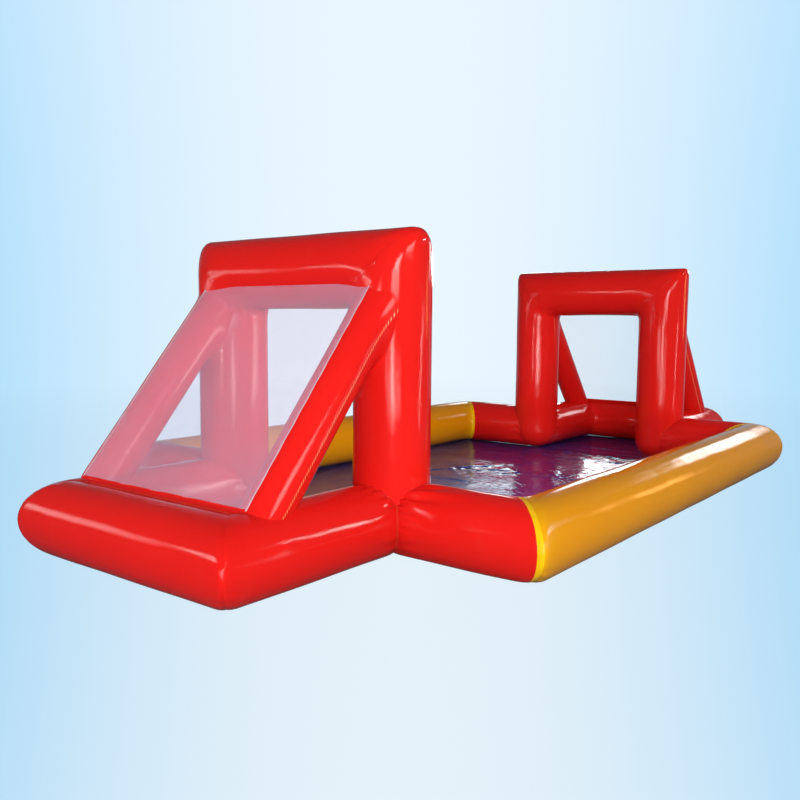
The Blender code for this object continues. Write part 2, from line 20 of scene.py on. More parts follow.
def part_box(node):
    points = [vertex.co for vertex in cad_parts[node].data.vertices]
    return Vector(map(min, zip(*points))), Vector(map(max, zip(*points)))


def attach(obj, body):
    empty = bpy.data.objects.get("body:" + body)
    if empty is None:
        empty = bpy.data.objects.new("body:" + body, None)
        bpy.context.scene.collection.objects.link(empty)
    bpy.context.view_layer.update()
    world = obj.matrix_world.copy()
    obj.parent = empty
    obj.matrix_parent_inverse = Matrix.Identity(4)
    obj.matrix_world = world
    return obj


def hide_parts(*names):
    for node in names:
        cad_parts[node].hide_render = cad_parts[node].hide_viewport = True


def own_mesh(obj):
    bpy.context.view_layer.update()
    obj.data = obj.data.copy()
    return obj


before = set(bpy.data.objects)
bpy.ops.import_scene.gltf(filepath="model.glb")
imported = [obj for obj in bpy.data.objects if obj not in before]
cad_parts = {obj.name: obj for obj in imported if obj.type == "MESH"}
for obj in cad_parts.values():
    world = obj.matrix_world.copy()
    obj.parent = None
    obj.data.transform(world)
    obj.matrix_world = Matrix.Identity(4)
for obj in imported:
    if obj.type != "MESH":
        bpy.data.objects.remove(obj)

LOG = logging.getLogger("pitch")
BODY = "pitch"
TURN = 2 * math.pi
INVERSE_E = math.exp(-1.0)
Array = np.ndarray
Piece = bpy.types.Object
Triple = tuple[float, float, float]
UP = Vector((0, 0, 1))


class Place(Enum):
    """A place on the pitch, whose value is its side of the middle."""

    @property
    def label(self) -> str:
        """The place's word in the nodes' names."""
        return self.name.lower()


class End(Place):
    """The two goals' ends of the pitch."""

    NEAR = -1
    FAR = 1


class Side(Place):
    """The two long sides of the pitch."""

    RIGHT = -1
    LEFT = 1


class Slot(Enum):
    """The record's material slots."""

    RED = "red_vinyl"
    YELLOW = "yellow_vinyl"
    BLUE = "blue_vinyl"
    MESH = "net_mesh"
    CAP = "cap_plastic"
    STEEL = "spring_steel"


# Shader expressions

def math_node(operation: str, swapped: bool = False) -> Callable[..., "Wire"]:
    """Makes a method that joins a wire and another term in a Math node.

    Args:
        operation: The Math node's operation.
        swapped: Whether the other term comes first.

    Returns:
        The method.
    """
    def method(wire: "Wire", other: Any = 0.0) -> "Wire":
        """Adds the node and returns its value."""
        terms = (other, wire) if swapped else (wire, other)
        return wire.shader.node("Math", dict(enumerate(terms)), operation=operation)
    return method


class Wire:
    """A shader socket that takes part in Python expressions."""

    __add__ = math_node("ADD")
    __sub__ = math_node("SUBTRACT")
    __rsub__ = math_node("SUBTRACT", swapped=True)
    __mul__ = math_node("MULTIPLY")
    __truediv__ = math_node("DIVIDE")
    __rpow__ = math_node("POWER", swapped=True)
    __lt__ = math_node("LESS_THAN")
    __gt__ = math_node("GREATER_THAN")
    __abs__ = math_node("ABSOLUTE")
    sine = math_node("SINE")
    zigzag = math_node("PINGPONG")

    def __init__(self, shader: "Shader", socket: bpy.types.NodeSocket) -> None:
        """Wraps an output of one of the shader's nodes."""
        self.shader, self.socket = shader, socket

    def fade(self, length: float) -> "Wire":
        """Falls from one to zero over a few lengths, as an exponential."""
        return INVERSE_E ** (abs(self) * (1.0 / length))

    def hump(self, width: float) -> "Wire":
        """One at zero, and down to zero over a few widths to both sides, as a bell."""
        scaled = self * (1.0 / width)
        return INVERSE_E ** (scaled * scaled)

    def ping(self, period: float) -> "Wire":
        """The distance to the nearest multiple of a period."""
        return self.zigzag(period / 2)

    def clamp(self) -> "Wire":
        """The wire held between zero and one."""
        return self.shader.node("Clamp", {"Value": self})


class Shader:
    """A node tree, which is built one node at a time."""

    def __init__(self, tree: bpy.types.NodeTree) -> None:
        """Empties the tree to build in."""
        self.tree = tree
        tree.nodes.clear()

    def node(self, kind: str, links: dict[Any, Any] | None = None, output: int | str = 0,
             **settings: Any) -> Wire:
        """Adds any node.

        Args:
            kind: The node's type, without its first word.
            links: Values or wires for its inputs, by name or number.
            output: The output that is returned.
            settings: Its properties, set first.

        Returns:
            A wire from that output.
        """
        made = self.tree.nodes.new("ShaderNode" + kind)
        for name, value in settings.items():
            setattr(made, name, value)
        for name, value in (links or {}).items():
            if isinstance(value, Wire):
                self.tree.links.new(value.socket, made.inputs[name])
            else:
                made.inputs[name].default_value = value
        return Wire(self, made.outputs[output])

    def place(self) -> Wire:
        """The point's place in the frame, in metres."""
        return self.node("TexCoord", output="Object")

    def part(self, vector: Wire, letter: str) -> Wire:
        """One coordinate of a vector."""
        return self.node("SeparateXYZ", {"Vector": vector}, letter)

    def sheet_place(self) -> tuple[Wire, Wire, Wire]:
        """The point's place on its flat sheet: the vector, the metres across and those along."""
        vector = self.node("UVMap", uv_map="UVMap")
        return vector, self.part(vector, "X"), self.part(vector, "Y")

    def attribute(self, name: str) -> Wire:
        """A number that the mesh's points carry."""
        return self.node("Attribute", output="Fac", attribute_name=name)

    def noise(self, vector: Wire, scale: float, detail: float = 2.0,
              stretch: Triple = (1, 1, 1)) -> Wire:
        """A smooth random value from zero to one.

        Args:
            vector: Where it is read.
            scale: Lumps a metre.
            detail: Octaves.
            stretch: A factor for each axis.

        Returns:
            The value.
        """
        stretched = self.node("Mapping", {"Vector": vector, "Scale": stretch})
        return self.node("TexNoise", {"Vector": stretched, "Scale": scale, "Detail": detail})

    def coats(self, colour: Any, *coats: tuple[Any, Any]) -> Wire:
        """Lays coats of colour over one another.

        Args:
            colour: The lowest colour, as numbers or a wire.
            coats: Each next coat's share and colour.

        Returns:
            The colour on top.
        """
        for share, coat in coats:
            lower, upper = (c if isinstance(c, Wire) else (*c, 1.0) for c in (colour, coat))
            colour = self.node("Mix", {0: share, 6: lower, 7: upper}, 2, data_type="RGBA")
        return colour

    def bump(self, height: Wire) -> Wire:
        """A normal for a height in metres."""
        return self.node("Bump", {"Height": height, "Distance": 1.0, "Strength": 1.0})

    def output(self, shade: Wire, kind: str = "Material") -> None:
        """Joins a shader to the tree's output node."""
        made = self.tree.nodes.new("ShaderNodeOutput" + kind)
        self.tree.links.new(shade.socket, made.inputs["Surface"])


def new_material(name: str) -> tuple[bpy.types.Material, Shader]:
    """Adds a material with an empty node tree.

    Args:
        name: Its name.

    Returns:
        The material and its shader.
    """
    material = bpy.data.materials.new(name)
    material.use_nodes = True
    return material, Shader(material.node_tree)


# Finishes

@dataclass(frozen=True)
class Finish:
    """How a surface looks."""

    name: str

    def material(self) -> bpy.types.Material:
        """Builds the finish as a material.

        Returns:
            The material.
        """
        material, s = new_material(self.name)
        s.output(s.node("BsdfPrincipled", self.sockets(s)))
        return material

    def sockets(self, s: Shader) -> dict[str, Any]:
        """The Principled node's inputs, as values or wires."""
        raise NotImplementedError


# Each vinyl's colour, its deep and pale shades, and the colour of the painted highlight along its
# welds
REDS = (0.78, 0.014, 0.010), (0.58, 0.006, 0.006), (0.85, 0.20, 0.15), (1.00, 0.36, 0.16)
YELLOWS = (0.76, 0.305, 0.003), (0.60, 0.20, 0.002), (0.80, 0.50, 0.12), (0.95, 0.62, 0.03)
YELLOW_DOUBLE = (0.86, 0.50, 0.006)


@dataclass(frozen=True)
class Vinyl(Finish):
    """Coated fabric of an inflated tube: glossy, faintly rippled, puckered where it is welded, with
    painted highlights along each weld and on the dots of a strut's seam.
    """

    LAP_PLACE = 0.03
    LAP_WIDTH = 0.016
    LAP_EDGE = 0.018
    EDGE_WIDTH = 0.0022
    WELD_REACH = 0.06
    WEAVE = 2094.0
    DOT_WAVE = 290.0
    DOT_WIDTH = 0.0055
    GRIME_HEIGHT = 0.05
    FOLD_HEIGHT = 0.0026
    CREASE_HEIGHT = 0.004
    WEAVE_HEIGHT = 0.000012
    LAP_HEIGHT = 0.0009
    EDGE_HEIGHT = -0.0004
    DOT_HEIGHT = 0.0012
    CORNER_HEIGHT = 0.0008

    colour: Triple
    deep: Triple
    pale: Triple
    # the colour of the painted highlight along the welds and on the seam dots
    rim: Triple
    lap_pitch: float = 50.0
    # strength of a seam's dimples and of the painted highlights on them
    dots: float = 0.0
    layer: float = 0.0
    dullness: float = 0.04

    def sockets(self, s: Shader) -> dict[str, Any]:
        """Works on the sheet's own metres and the distance to the nearest weld.

        Args:
            s: The material's shader.

        Returns:
            The Principled node's inputs.
        """
        vector, across, along = s.sheet_place()
        place, weld, corner = s.place(), s.attribute("weld_distance"), s.attribute("corner_lap")
        near_weld = weld.fade(self.WELD_REACH)
        cloud = s.noise(place, 1.1, 3.0)
        smear = s.noise(place, 9.0, 4.0, (1.0, 1.0, 0.35))
        speck = s.noise(place, 160.0)
        from_lap, from_ring = across - self.LAP_PLACE, along.ping(self.lap_pitch)
        laps = from_lap.hump(self.LAP_WIDTH) + from_ring.hump(self.LAP_WIDTH)
        edges = ((abs(from_lap) - self.LAP_EDGE).hump(self.EDGE_WIDTH)
                 + (from_ring - self.LAP_EDGE).hump(self.EDGE_WIDTH))
        grime = (s.part(place, "Z").fade(self.GRIME_HEIGHT) * smear * 1.2).clamp()
        # a row of dimples along the lap seam: real dents in the bump, each with a painted highlight
        # in its colour
        row = (from_lap.hump(self.DOT_WIDTH)
               * ((along * self.DOT_WAVE).sine() * 1.8 + 0.1).clamp() * self.dots)
        tone = s.coats(
            self.colour,
            ((cloud * 0.6).clamp(), self.deep),
            ((near_weld * 0.25 + edges * 0.35 + grime * 0.5).clamp(), self.deep),
            (((speck - 0.66).clamp() * 0.4 + (smear - 0.6).clamp() * 0.12).clamp(), self.pale),
            # a painted highlight along each weld
            ((weld - 0.004).hump(0.004) * 0.09, self.rim),
            (weld.fade(0.08) * self.layer, YELLOW_DOUBLE),
            # painted highlights on the seam's dots
            (row, self.rim),
            (((corner - 0.5) * 60.0).clamp(), YELLOW_DOUBLE))
        ripple = s.noise(place, 4.5, 1.0) * 0.0030 + s.noise(place, 15.0) * 0.00055
        folds = (s.noise(vector, 1.0, 2.0, (46.0, 7.0, 1.0)) - 0.5) * near_weld
        folds = folds * self.FOLD_HEIGHT
        creases = ((s.noise(vector, 1.0, 3.0, (9.0, 60.0, 1.0)) - 0.62).clamp()
                   * weld.fade(0.16) * self.CREASE_HEIGHT)
        weave = ((across * self.WEAVE).sine() + (along * self.WEAVE).sine()) * self.WEAVE_HEIGHT
        steps = laps * self.LAP_HEIGHT + edges * self.EDGE_HEIGHT
        height = (ripple + folds + creases + weave + steps + row * self.DOT_HEIGHT
                  + (corner - 0.5).hump(0.03) * self.CORNER_HEIGHT)
        return {"Base Color": tone, "Normal": s.bump(height), "IOR": 1.29,
                "Roughness": smear * 0.08 + near_weld * 0.03 + grime * 0.2 + self.dullness}


@dataclass(frozen=True)
class FloorVinyl(Finish):
    """The floor's darker sheet: very glossy, creased and trodden."""

    PANEL = 1.55
    DENT = 0.009
    CREASE_DEPTH = -0.0008
    FINE_DEPTH = -0.00015
    SEAM_HEIGHT = 0.0009
    GRAIN_HEIGHT = 0.00025

    colour: Triple
    deep: Triple
    dust: Triple

    def sockets(self, s: Shader) -> dict[str, Any]:
        """Works on the places in the frame, seen from above.

        Args:
            s: The material's shader.

        Returns:
            The Principled node's inputs.
        """
        place = s.place()
        flat = s.node("Mapping", {"Vector": place, "Scale": (1.0, 1.0, 0.0)})
        cloud = s.noise(flat, 0.9, 4.0)
        smear = s.noise(flat, 6.0, 5.0)
        speck = s.noise(flat, 230.0)
        bent = s.node("VectorMath", {0: flat, 1: s.noise(flat, 2.2)}, operation="ADD")
        crease = abs(s.noise(bent, 5.0, 3.0) - 0.5).hump(0.035)
        fine = abs(s.noise(bent, 17.0) - 0.5).hump(0.05)
        from_seam = s.part(place, "X").ping(self.PANEL)
        tone = s.coats(
            self.colour,
            ((cloud * 0.7).clamp(), self.deep),
            (((speck - 0.64).clamp() * 0.8 + (smear - 0.55).clamp() * 0.16).clamp(), self.dust),
            ((from_seam - 0.012).hump(0.0022) * 0.5, self.deep))
        height = (crease * self.CREASE_DEPTH + fine * self.FINE_DEPTH
                  + s.noise(flat, 3.2) * self.DENT + from_seam.hump(0.012) * self.SEAM_HEIGHT
                  + s.noise(flat, 38.0, 1.0) * self.GRAIN_HEIGHT)
        return {"Base Color": tone, "Normal": s.bump(height), "IOR": 1.52,
                "Roughness": smear * 0.16 + 0.06 + crease * 0.04}


@dataclass(frozen=True)
class NetMesh(Finish):
    """Fine woven mesh: threads across and along with open gaps between them."""

    thread: Triple
    shade: Triple
    thread_width: float = 0.00082
    pitch: float = 0.0042

    def sockets(self, s: Shader) -> dict[str, Any]:
        """Works on the sheet's own metres, with the weave as the alpha.

        Args:
            s: The material's shader.

        Returns:
            The Principled node's inputs.
        """
        vector, across, along = s.sheet_place()
        half = self.thread_width / 2
        warp, weft = across.ping(self.pitch), along.ping(self.pitch)
        slub = s.noise(vector, 1.0, 3.0, (40.0, 3.0, 1.0))
        return {"Base Color": s.coats(self.thread, ((slub * 0.8).clamp(), self.shade)),
                "Alpha": ((warp < half) + (weft < half)).clamp(),
                "Normal": s.bump((warp.hump(half) + weft.hump(half)) * 0.0004),
                "Roughness": slub * 0.2 + 0.5, "Specular IOR Level": 0.4}


@dataclass(frozen=True)
class Webbing(Finish):
    """Woven edge tape with a row of stitches along each border."""

    colour: Triple
    stitch: Triple
    width: float

    def sockets(self, s: Shader) -> dict[str, Any]:
        """Works on the tape's own metres.

        Args:
            s: The material's shader.

        Returns:
            The Principled node's inputs.
        """
        vector, across, along = s.sheet_place()
        border = (abs(across - self.width / 2) - self.width * 0.32).hump(0.0009)
        thread = (border * (along.ping(0.007) > 0.0014)).clamp()
        rib = (along * 3140.0).sine() * (across * 5200.0).sine()
        grime = s.noise(vector, 1.0, 3.0, (30.0, 5.0, 1.0))
        tone = s.coats(self.colour, ((grime * 0.3).clamp(), self.stitch),
                       (thread * 0.8, self.stitch))
        return {"Base Color": tone, "Roughness": grime * 0.2 + 0.55,
                "Normal": s.bump(rib * 0.00008 + thread * 0.0004)}


@dataclass(frozen=True)
class Moulded(Finish):
    """Moulded plastic, rubber or wire: fine grain and worn, lighter high spots."""

    WEAR_TO_GRAIN = 18

    colour: Triple
    worn: Triple
    roughness: float
    grain: float
    metallic: float = 0.0

    def sockets(self, s: Shader) -> dict[str, Any]:
        """Works on the places in the frame.

        Args:
            s: The material's shader.

        Returns:
            The Principled node's inputs.
        """
        place = s.place()
        grain = s.noise(place, self.grain)
        wear = s.noise(place, self.grain / self.WEAR_TO_GRAIN, 4.0)
        share = ((wear - 0.45).clamp() * 1.6 + (grain - 0.5) * 0.12).clamp()
        return {"Base Color": s.coats(self.colour, (share, self.worn)),
                "Roughness": wear * 0.2 + self.roughness, "Metallic": self.metallic,
                "Normal": s.bump(grain * 0.00006)}


class Wardrobe:
    """Every finish of the pitch, made once and shared."""

    def __init__(self) -> None:
        """Makes the materials."""
        self.red = Vinyl("red_vinyl_look", *REDS).material()
        self.strut = Vinyl("red_strut_look", *REDS, dots=1.0).material()
        self.yellow = Vinyl("yellow_vinyl_look", *YELLOWS, lap_pitch=3.6, layer=0.5,
                            dullness=0.085).material()
        self.floor = FloorVinyl("blue_floor_look", (0.018, 0.028, 0.210), (0.010, 0.013, 0.100),
                                (0.10, 0.12, 0.22)).material()
        # painted light: the near net's threads carry a painted pink cast of the red tubes round
        # them, and the far net's a painted pale cast of the backdrop behind it
        self.mesh = {
            End.NEAR: NetMesh("net_mesh_near_painted_pink_cast", (0.94, 0.74, 1.0),
                              (0.82, 0.62, 0.90)).material(),
            End.FAR: NetMesh("net_mesh_far_painted_pale_cast", (0.92, 0.95, 1.0), (0.82, 0.87, 0.94),
                             0.00030).material(),
        }
        self.tape = Webbing("net_tape_look", (0.66, 0.48, 0.56), (0.86, 0.78, 0.82),
                            0.009).material()
        self.plastic = Moulded("valve_plastic_look", (0.035, 0.036, 0.040), (0.16, 0.16, 0.17),
                               0.34, 900.0).material()
        self.cap = Moulded("cap_plastic_look", (0.022, 0.022, 0.025), (0.12, 0.12, 0.13),
                           0.30, 700.0).material()
        self.rubber = Moulded("valve_rubber_look", (0.015, 0.015, 0.016), (0.07, 0.07, 0.07),
                              0.60, 1200.0).material()
        self.steel = Moulded("spring_steel_look", (0.56, 0.57, 0.58), (0.75, 0.75, 0.76),
                             0.22, 1500.0, 1.0).material()


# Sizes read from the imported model

def middle(node: str, axis: int) -> float:
    """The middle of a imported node's box along an axis."""
    low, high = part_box(node)
    return (high[axis] + low[axis]) / 2


def half(node: str, axis: int) -> float:
    """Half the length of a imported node's box along an axis."""
    low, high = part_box(node)
    return (high[axis] - low[axis]) / 2


@dataclass(frozen=True)
class PitchSizes:
    """Where the tubes' axes lie, and how thick the tubes are."""

    ring_radius: float = half("side_tube_left", 2)
    axis_height: float = middle("side_tube_left", 2)
    side_y: float = middle("side_tube_left", 1)
    end_x: float = middle("goal_crossbar_far", 0)
    bar_height: float = middle("goal_crossbar_far", 2)
    goal_radius: float = half("goal_crossbar_far", 2)
    goal_y: float = middle("goal_post_far_left", 1)
    back_x: float = middle("goal_base_back_far", 0)
    strut_radius: float = 0.1412
    strut_head_drop: float = 0.045
    strut_foot_inset: float = 0.10

    def strut_line(self, end: End, across: float) -> tuple[Vector, Vector]:
        """A strut's axis, from its head on the post to its foot at the base tubes' height.

        Args:
            end: The goal's end of the pitch.
            across: The strut's place across the pitch.

        Returns:
            The head and the foot.
        """
        head_height = self.bar_height - self.strut_head_drop
        foot_x = self.back_x - self.strut_foot_inset
        return (Vector((end.value * self.end_x, across, head_height)),
                Vector((end.value * foot_x, across, self.axis_height)))


SIZES = PitchSizes()


# Spaces that tubes end in

@dataclass(frozen=True)
class RoundSpace:
    """The space inside an endless round tube."""

    point: Vector
    axis: Vector
    radius: float

    def depth(self, points: Array) -> Array:
        """How far inside the space points lie.

        Args:
            points: Places in the frame.

        Returns:
            A depth for each point.
        """
        away = points - np.array(self.point)
        axis = np.array(self.axis.normalized())
        away = away - np.outer(away @ axis, axis)
        return self.radius - np.linalg.norm(away, axis=1)


@dataclass(frozen=True)
class PostSpace:
    """The space inside a post: round above the base tubes' height, a rounded foot below it."""

    centre: Vector
    radius: float

    def depth(self, points: Array) -> Array:
        """How far inside the space points lie.

        Args:
            points: Places in the frame.

        Returns:
            A depth for each point.
        """
        away = np.linalg.norm(points[:, :2] - np.array(self.centre)[:2], axis=1)
        drop = np.maximum(self.centre.z - points[:, 2], 0) * self.radius / self.centre.z
        return self.radius - np.hypot(away, drop)


@dataclass(frozen=True)
class Mitre:
    """A tube's end on a plane."""

    point: Vector
    normal: Vector

    def reach(self, points: Array, direction: Array) -> Array:
        """How far along its line each point meets the plane."""
        normal = np.array(self.normal)
        return (np.array(self.point) - points) @ normal / (direction @ normal)


@dataclass(frozen=True)
class Saddle:
    """A tube's end on the skins of its neighbours, from the outermost of its planes.

    The outward value is 1 where the tube runs along its direction from here, and else -1.
    """

    SEARCH = 1.0
    HALVINGS = 26

    planes: tuple[Mitre, ...]
    spaces: tuple[Any, ...]
    tuck: float = 0.006
    outward: int = 1

    def reach(self, points: Array, direction: Array) -> Array:
        """How far along its line each point leaves the neighbours' spaces.

        Args:
            points: Starts of the lines.
            direction: The lines' direction.

        Returns:
            A distance for each point.
        """
        first = self.outward * np.max(
            [self.outward * plane.reach(points, direction) for plane in self.planes], axis=0)
        inner, outer = first, first + self.outward * self.SEARCH
        starts_inside = self._inside(points + first[:, None] * direction)
        for _ in range(self.HALVINGS):
            between = (inner + outer) / 2
            inside = self._inside(points + between[:, None] * direction)
            inner = np.where(inside, between, inner)
            outer = np.where(inside, outer, between)
        return np.where(starts_inside, outer - self.outward * self.tuck, first)

    def _inside(self, points: Array) -> Array:
        """Whether points lie inside any of the spaces."""
        return np.max([space.depth(points) for space in self.spaces], axis=0) > 0


# Modelling helpers

def primitive(name: str, add: Callable[..., Any], **settings: Any) -> Piece:
    """Adds a primitive, names it and moves its place into its mesh.

    Args:
        name: The piece's name.
        add: Blender's operator.
        settings: What the operator is told.

    Returns:
        The piece.
    """
    bpy.ops.object.select_all(action="DESELECT")
    add(**settings)
    obj = bpy.context.object
    obj.name = obj.data.name = name
    bpy.ops.object.transform_apply(location=True, rotation=True, scale=True)
    return obj


def pick(obj: Piece, kind: str, wanted: Callable[[Any], bool]) -> None:
    """Selects, in edit mode, the edges or faces that pass a test.

    Args:
        obj: The piece.
        kind: EDGE or FACE.
        wanted: The test.
    """
    bpy.ops.mesh.select_mode(type=kind)
    bpy.ops.mesh.select_all(action="DESELECT")
    work = bmesh.from_edit_mesh(obj.data)
    for element in work.edges if kind == "EDGE" else work.faces:
        element.select = wanted(element)
    bmesh.update_edit_mesh(obj.data)


def upright(edge: bmesh.types.BMEdge) -> bool:
    """Whether an edge's ends lie at different heights."""
    return abs(edge.verts[0].co.z - edge.verts[1].co.z) > 1e-4


def open_cylinder(name: str, sides: int, rows: int) -> Piece:
    """Adds an open unit cylinder from z = 0 to 1 and cuts its wall into rows.

    Args:
        name: The piece's name.
        sides: Faces round it.
        rows: Faces along it, up to 50 or a multiple of 50.

    Returns:
        The piece.
    """
    obj = primitive(name, bpy.ops.mesh.primitive_cylinder_add, vertices=sides, radius=1.0,
                    depth=1.0, end_fill_type="NOTHING", location=(0, 0, 0.5))
    bpy.ops.object.mode_set(mode="EDIT")
    for cuts in (min(rows, 50) - 1, rows // 50 - 1):
        if cuts > 0:
            pick(obj, "EDGE", upright)
            bpy.ops.mesh.subdivide(number_cuts=cuts)
    bpy.ops.object.mode_set(mode="OBJECT")
    return obj


def unit_grid(name: str, columns: int, rows: int) -> tuple[Piece, Array, Array]:
    """Adds a flat grid from (0, 0) to (1, 1).

    Args:
        name: The piece's name.
        columns: Faces along X.
        rows: Faces along Y.

    Returns:
        The piece, and its points' shares along X and along Y.
    """
    obj = primitive(name, bpy.ops.mesh.primitive_grid_add, x_subdivisions=columns,
                    y_subdivisions=rows, size=1.0, location=(0.5, 0.5, 0.0))
    unit = points_of(obj)
    return obj, unit[:, 0], unit[:, 1]


def points_of(obj: Piece) -> Array:
    """A mesh's points as an array.

    Args:
        obj: The piece.

    Returns:
        A row of three coordinates for each point.
    """
    points = np.empty(len(obj.data.vertices) * 3)
    obj.data.vertices.foreach_get("co", points)
    return points.reshape(-1, 3)


def angles_of(unit: Array) -> Array:
    """The angles of a unit cylinder's points."""
    return np.arctan2(unit[:, 1], unit[:, 0])


def move_points(obj: Piece, points: Array) -> None:
    """Puts a mesh's points at new places."""
    obj.data.vertices.foreach_set("co", points.astype(np.float32).ravel())
    obj.data.update()


def corners_of(obj: Piece) -> Array:
    """The point of each face corner.

    Args:
        obj: The piece.

    Returns:
        A point's number for each corner.
    """
    corners = np.empty(len(obj.data.loops), dtype=np.int32)
    obj.data.loops.foreach_get("vertex_index", corners)
    return corners


def lay(obj: Piece, points: Array, outside: Array | Vector, across: Array, along: Array,
        turn: float = 0.0) -> None:
    """Shapes a piece of quads, turns its faces outwards and maps its sheet's own metres.

    Args:
        obj: The piece.
        points: Its points' places.
        outside: A direction out of the piece, for all points or each.
        across: Each point's metres across the sheet.
        along: Each point's metres along it.
        turn: The metres once round a tube, or 0 for a flat sheet.
    """
    move_points(obj, points)
    bpy.context.view_layer.objects.active = obj
    corners = corners_of(obj)
    normals = np.empty(len(obj.data.polygons) * 3)
    obj.data.polygons.foreach_get("normal", normals)
    wanted = np.broadcast_to(np.array(outside), points.shape)[corners]
    if (normals.reshape(-1, 3) * wanted.reshape(-1, 4, 3).mean(axis=1)).sum() < 0:
        obj.data.flip_normals()
        corners = corners_of(obj)
    places = np.stack([across[corners], along[corners]], axis=1).reshape(-1, 4, 2)
    if turn:
        low = places[:, :, 0] < places[:, :, 0].max(axis=1, keepdims=True) - turn / 2
        places[:, :, 0] += np.where(low, turn, 0.0)
    layer = obj.data.uv_layers.active or obj.data.uv_layers.new(name="UVMap")
    layer.name = "UVMap"
    layer.uv.foreach_set("vector", places.astype(np.float32).ravel())


def point_value(obj: Piece, name: str, values: Array) -> None:
    """Stores a number on each point of a mesh."""
    layer = obj.data.attributes.new(name, "FLOAT", "POINT")
    layer.data.foreach_set("value", values.astype(np.float32))


def finish_piece(obj: Piece, material: bpy.types.Material,
                 replaces: Sequence[str] = (), body: str = BODY) -> Piece:
    """Shades a piece, gives it its material and body, and reports it.

    Args:
        obj: The piece.
        material: Its finish.
        replaces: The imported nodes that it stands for.
        body: The body that it rides on.

    Returns:
        The piece.
    """
    obj.data.materials.clear()
    obj.data.materials.append(material)
    obj.data.shade_smooth()
    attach(obj, body)
    if replaces:
        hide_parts(*replaces)
    LOG.info("%s: %d faces", obj.name, len(obj.data.polygons))
    return obj


# Air tubes

@dataclass(frozen=True)
class Puckers:
    """Folds that run away from a weld, deeper on the side where the skin has too much length."""

    seed: int
    count: int = 34
    depth: float = 0.0022
    length: float = 0.10
    pinch: float = 0.005
    pinch_length: float = 0.035
    gather: Vector | None = None
    gain: float = 2.2

    def rise(self, angles: Array, distances: Array, radius: float,
             gather_angle: float | None) -> Array:
        """How far the skin stands above the plain tube.

        Args:
            angles: Each point's angle round the tube.
            distances: Each point's distance from the weld.
            radius: The tube's radius.
            gather_angle: The angle of the side with deeper folds.

        Returns:
            A height for each point.
        """
        random = np.random.default_rng(self.seed)
        total = -self.pinch * np.exp(-distances / self.pinch_length)
        for _ in range(self.count):
            centre = random.uniform(-math.pi, math.pi)
            width = random.uniform(0.008, 0.020)
            length = self.length * random.uniform(0.35, 1.3)
            depth = self.depth * random.uniform(0.25, 1.0)
            skew = random.uniform(-0.22, 0.22)
            if gather_angle is not None:
                facing = max(0.0, math.cos(centre - gather_angle)) ** 3
                depth *= 1.0 + self.gain * facing
                length *= 1.0 + facing
            round_way = np.angle(np.exp(1j * (angles - centre))) * radius + skew * distances
            offset = round_way / (width + 0.20 * distances)
            fold = -(1.0 - 1.1 * offset ** 2) * np.exp(-offset ** 2)
            total += depth * fold * (1.0 - np.exp(-distances / 0.007)) * np.exp(-distances / length)
        return total


@dataclass(frozen=True)
class SoftMitre:
    """A welded corner of two tubes, drawn round because the skins can't follow a sharp mitre.

    The edge value rounds the corner's outline, and the face value the ridge across its face.
    """

    STEPS = 8

    corner: Vector
    first: Vector
    second: Vector
    edge: float
    face: float

    def shape(self, points: Array) -> Array:
        """Moves the points near the mitre onto the rounded corner.

        Args:
            points: Places on either tube.

        Returns:
            The new places.
        """
        axes = np.array([self.first, self.second, self.first.cross(self.second)])
        away = (points - np.array(self.corner)) @ axes.T
        wanted = np.hypot(away[:, 2], np.maximum(away[:, 0], away[:, 1]))
        for _ in range(self.STEPS):
            gap = away[:, 0] - away[:, 1]
            facing = np.clip(away[:, 2] / np.maximum(wanted, 1e-6), -1, 1) ** 2
            width = self.edge + (self.face - self.edge) * facing
            soft = np.maximum(width - np.abs(gap), 0)
            level = np.maximum(away[:, 0], away[:, 1]) + soft ** 2 / (4 * width)
            smaller = soft / (2 * width)
            share = np.where(gap >= 0, 1 - smaller, smaller)
            slope = np.stack([level * share, level * (1 - share), away[:, 2]], axis=1)
            miss = (level ** 2 + away[:, 2] ** 2 - wanted ** 2) / 2
            away = away - slope * (miss / np.maximum((slope ** 2).sum(axis=1), 1e-9))[:, None]
        return np.array(self.corner) + away @ axes


@dataclass(frozen=True)
class Knot:
    """The drawn-in spot where three welds meet."""

    place: Vector
    inward: Vector
    depth: float = 0.026
    width: float = 0.050

    def shape(self, points: Array) -> Array:
        """Draws the points round the spot inwards.

        Args:
            points: Places in the frame.

        Returns:
            The new places.
        """
        distance = np.linalg.norm(points - np.array(self.place), axis=1)
        pull = self.depth * np.exp(-(distance / self.width) ** 2)
        return points + pull[:, None] * np.array(self.inward)


@dataclass(frozen=True)
class Flare:
    """A tube's widening towards its first weld, except on the straight side under the net."""

    straight_side: Vector
    height: float = 0.045
    length: float = 0.075

    def rise(self, spokes: Array, distances: Array) -> Array:
        """How far the skin stands above the plain tube, for each point's outward direction."""
        turned = np.clip((0.93 - spokes @ np.array(self.straight_side)) / 0.6, 0, 1)
        return self.height * turned ** 2 * (3 - 2 * turned) * np.exp(-distances / self.length)


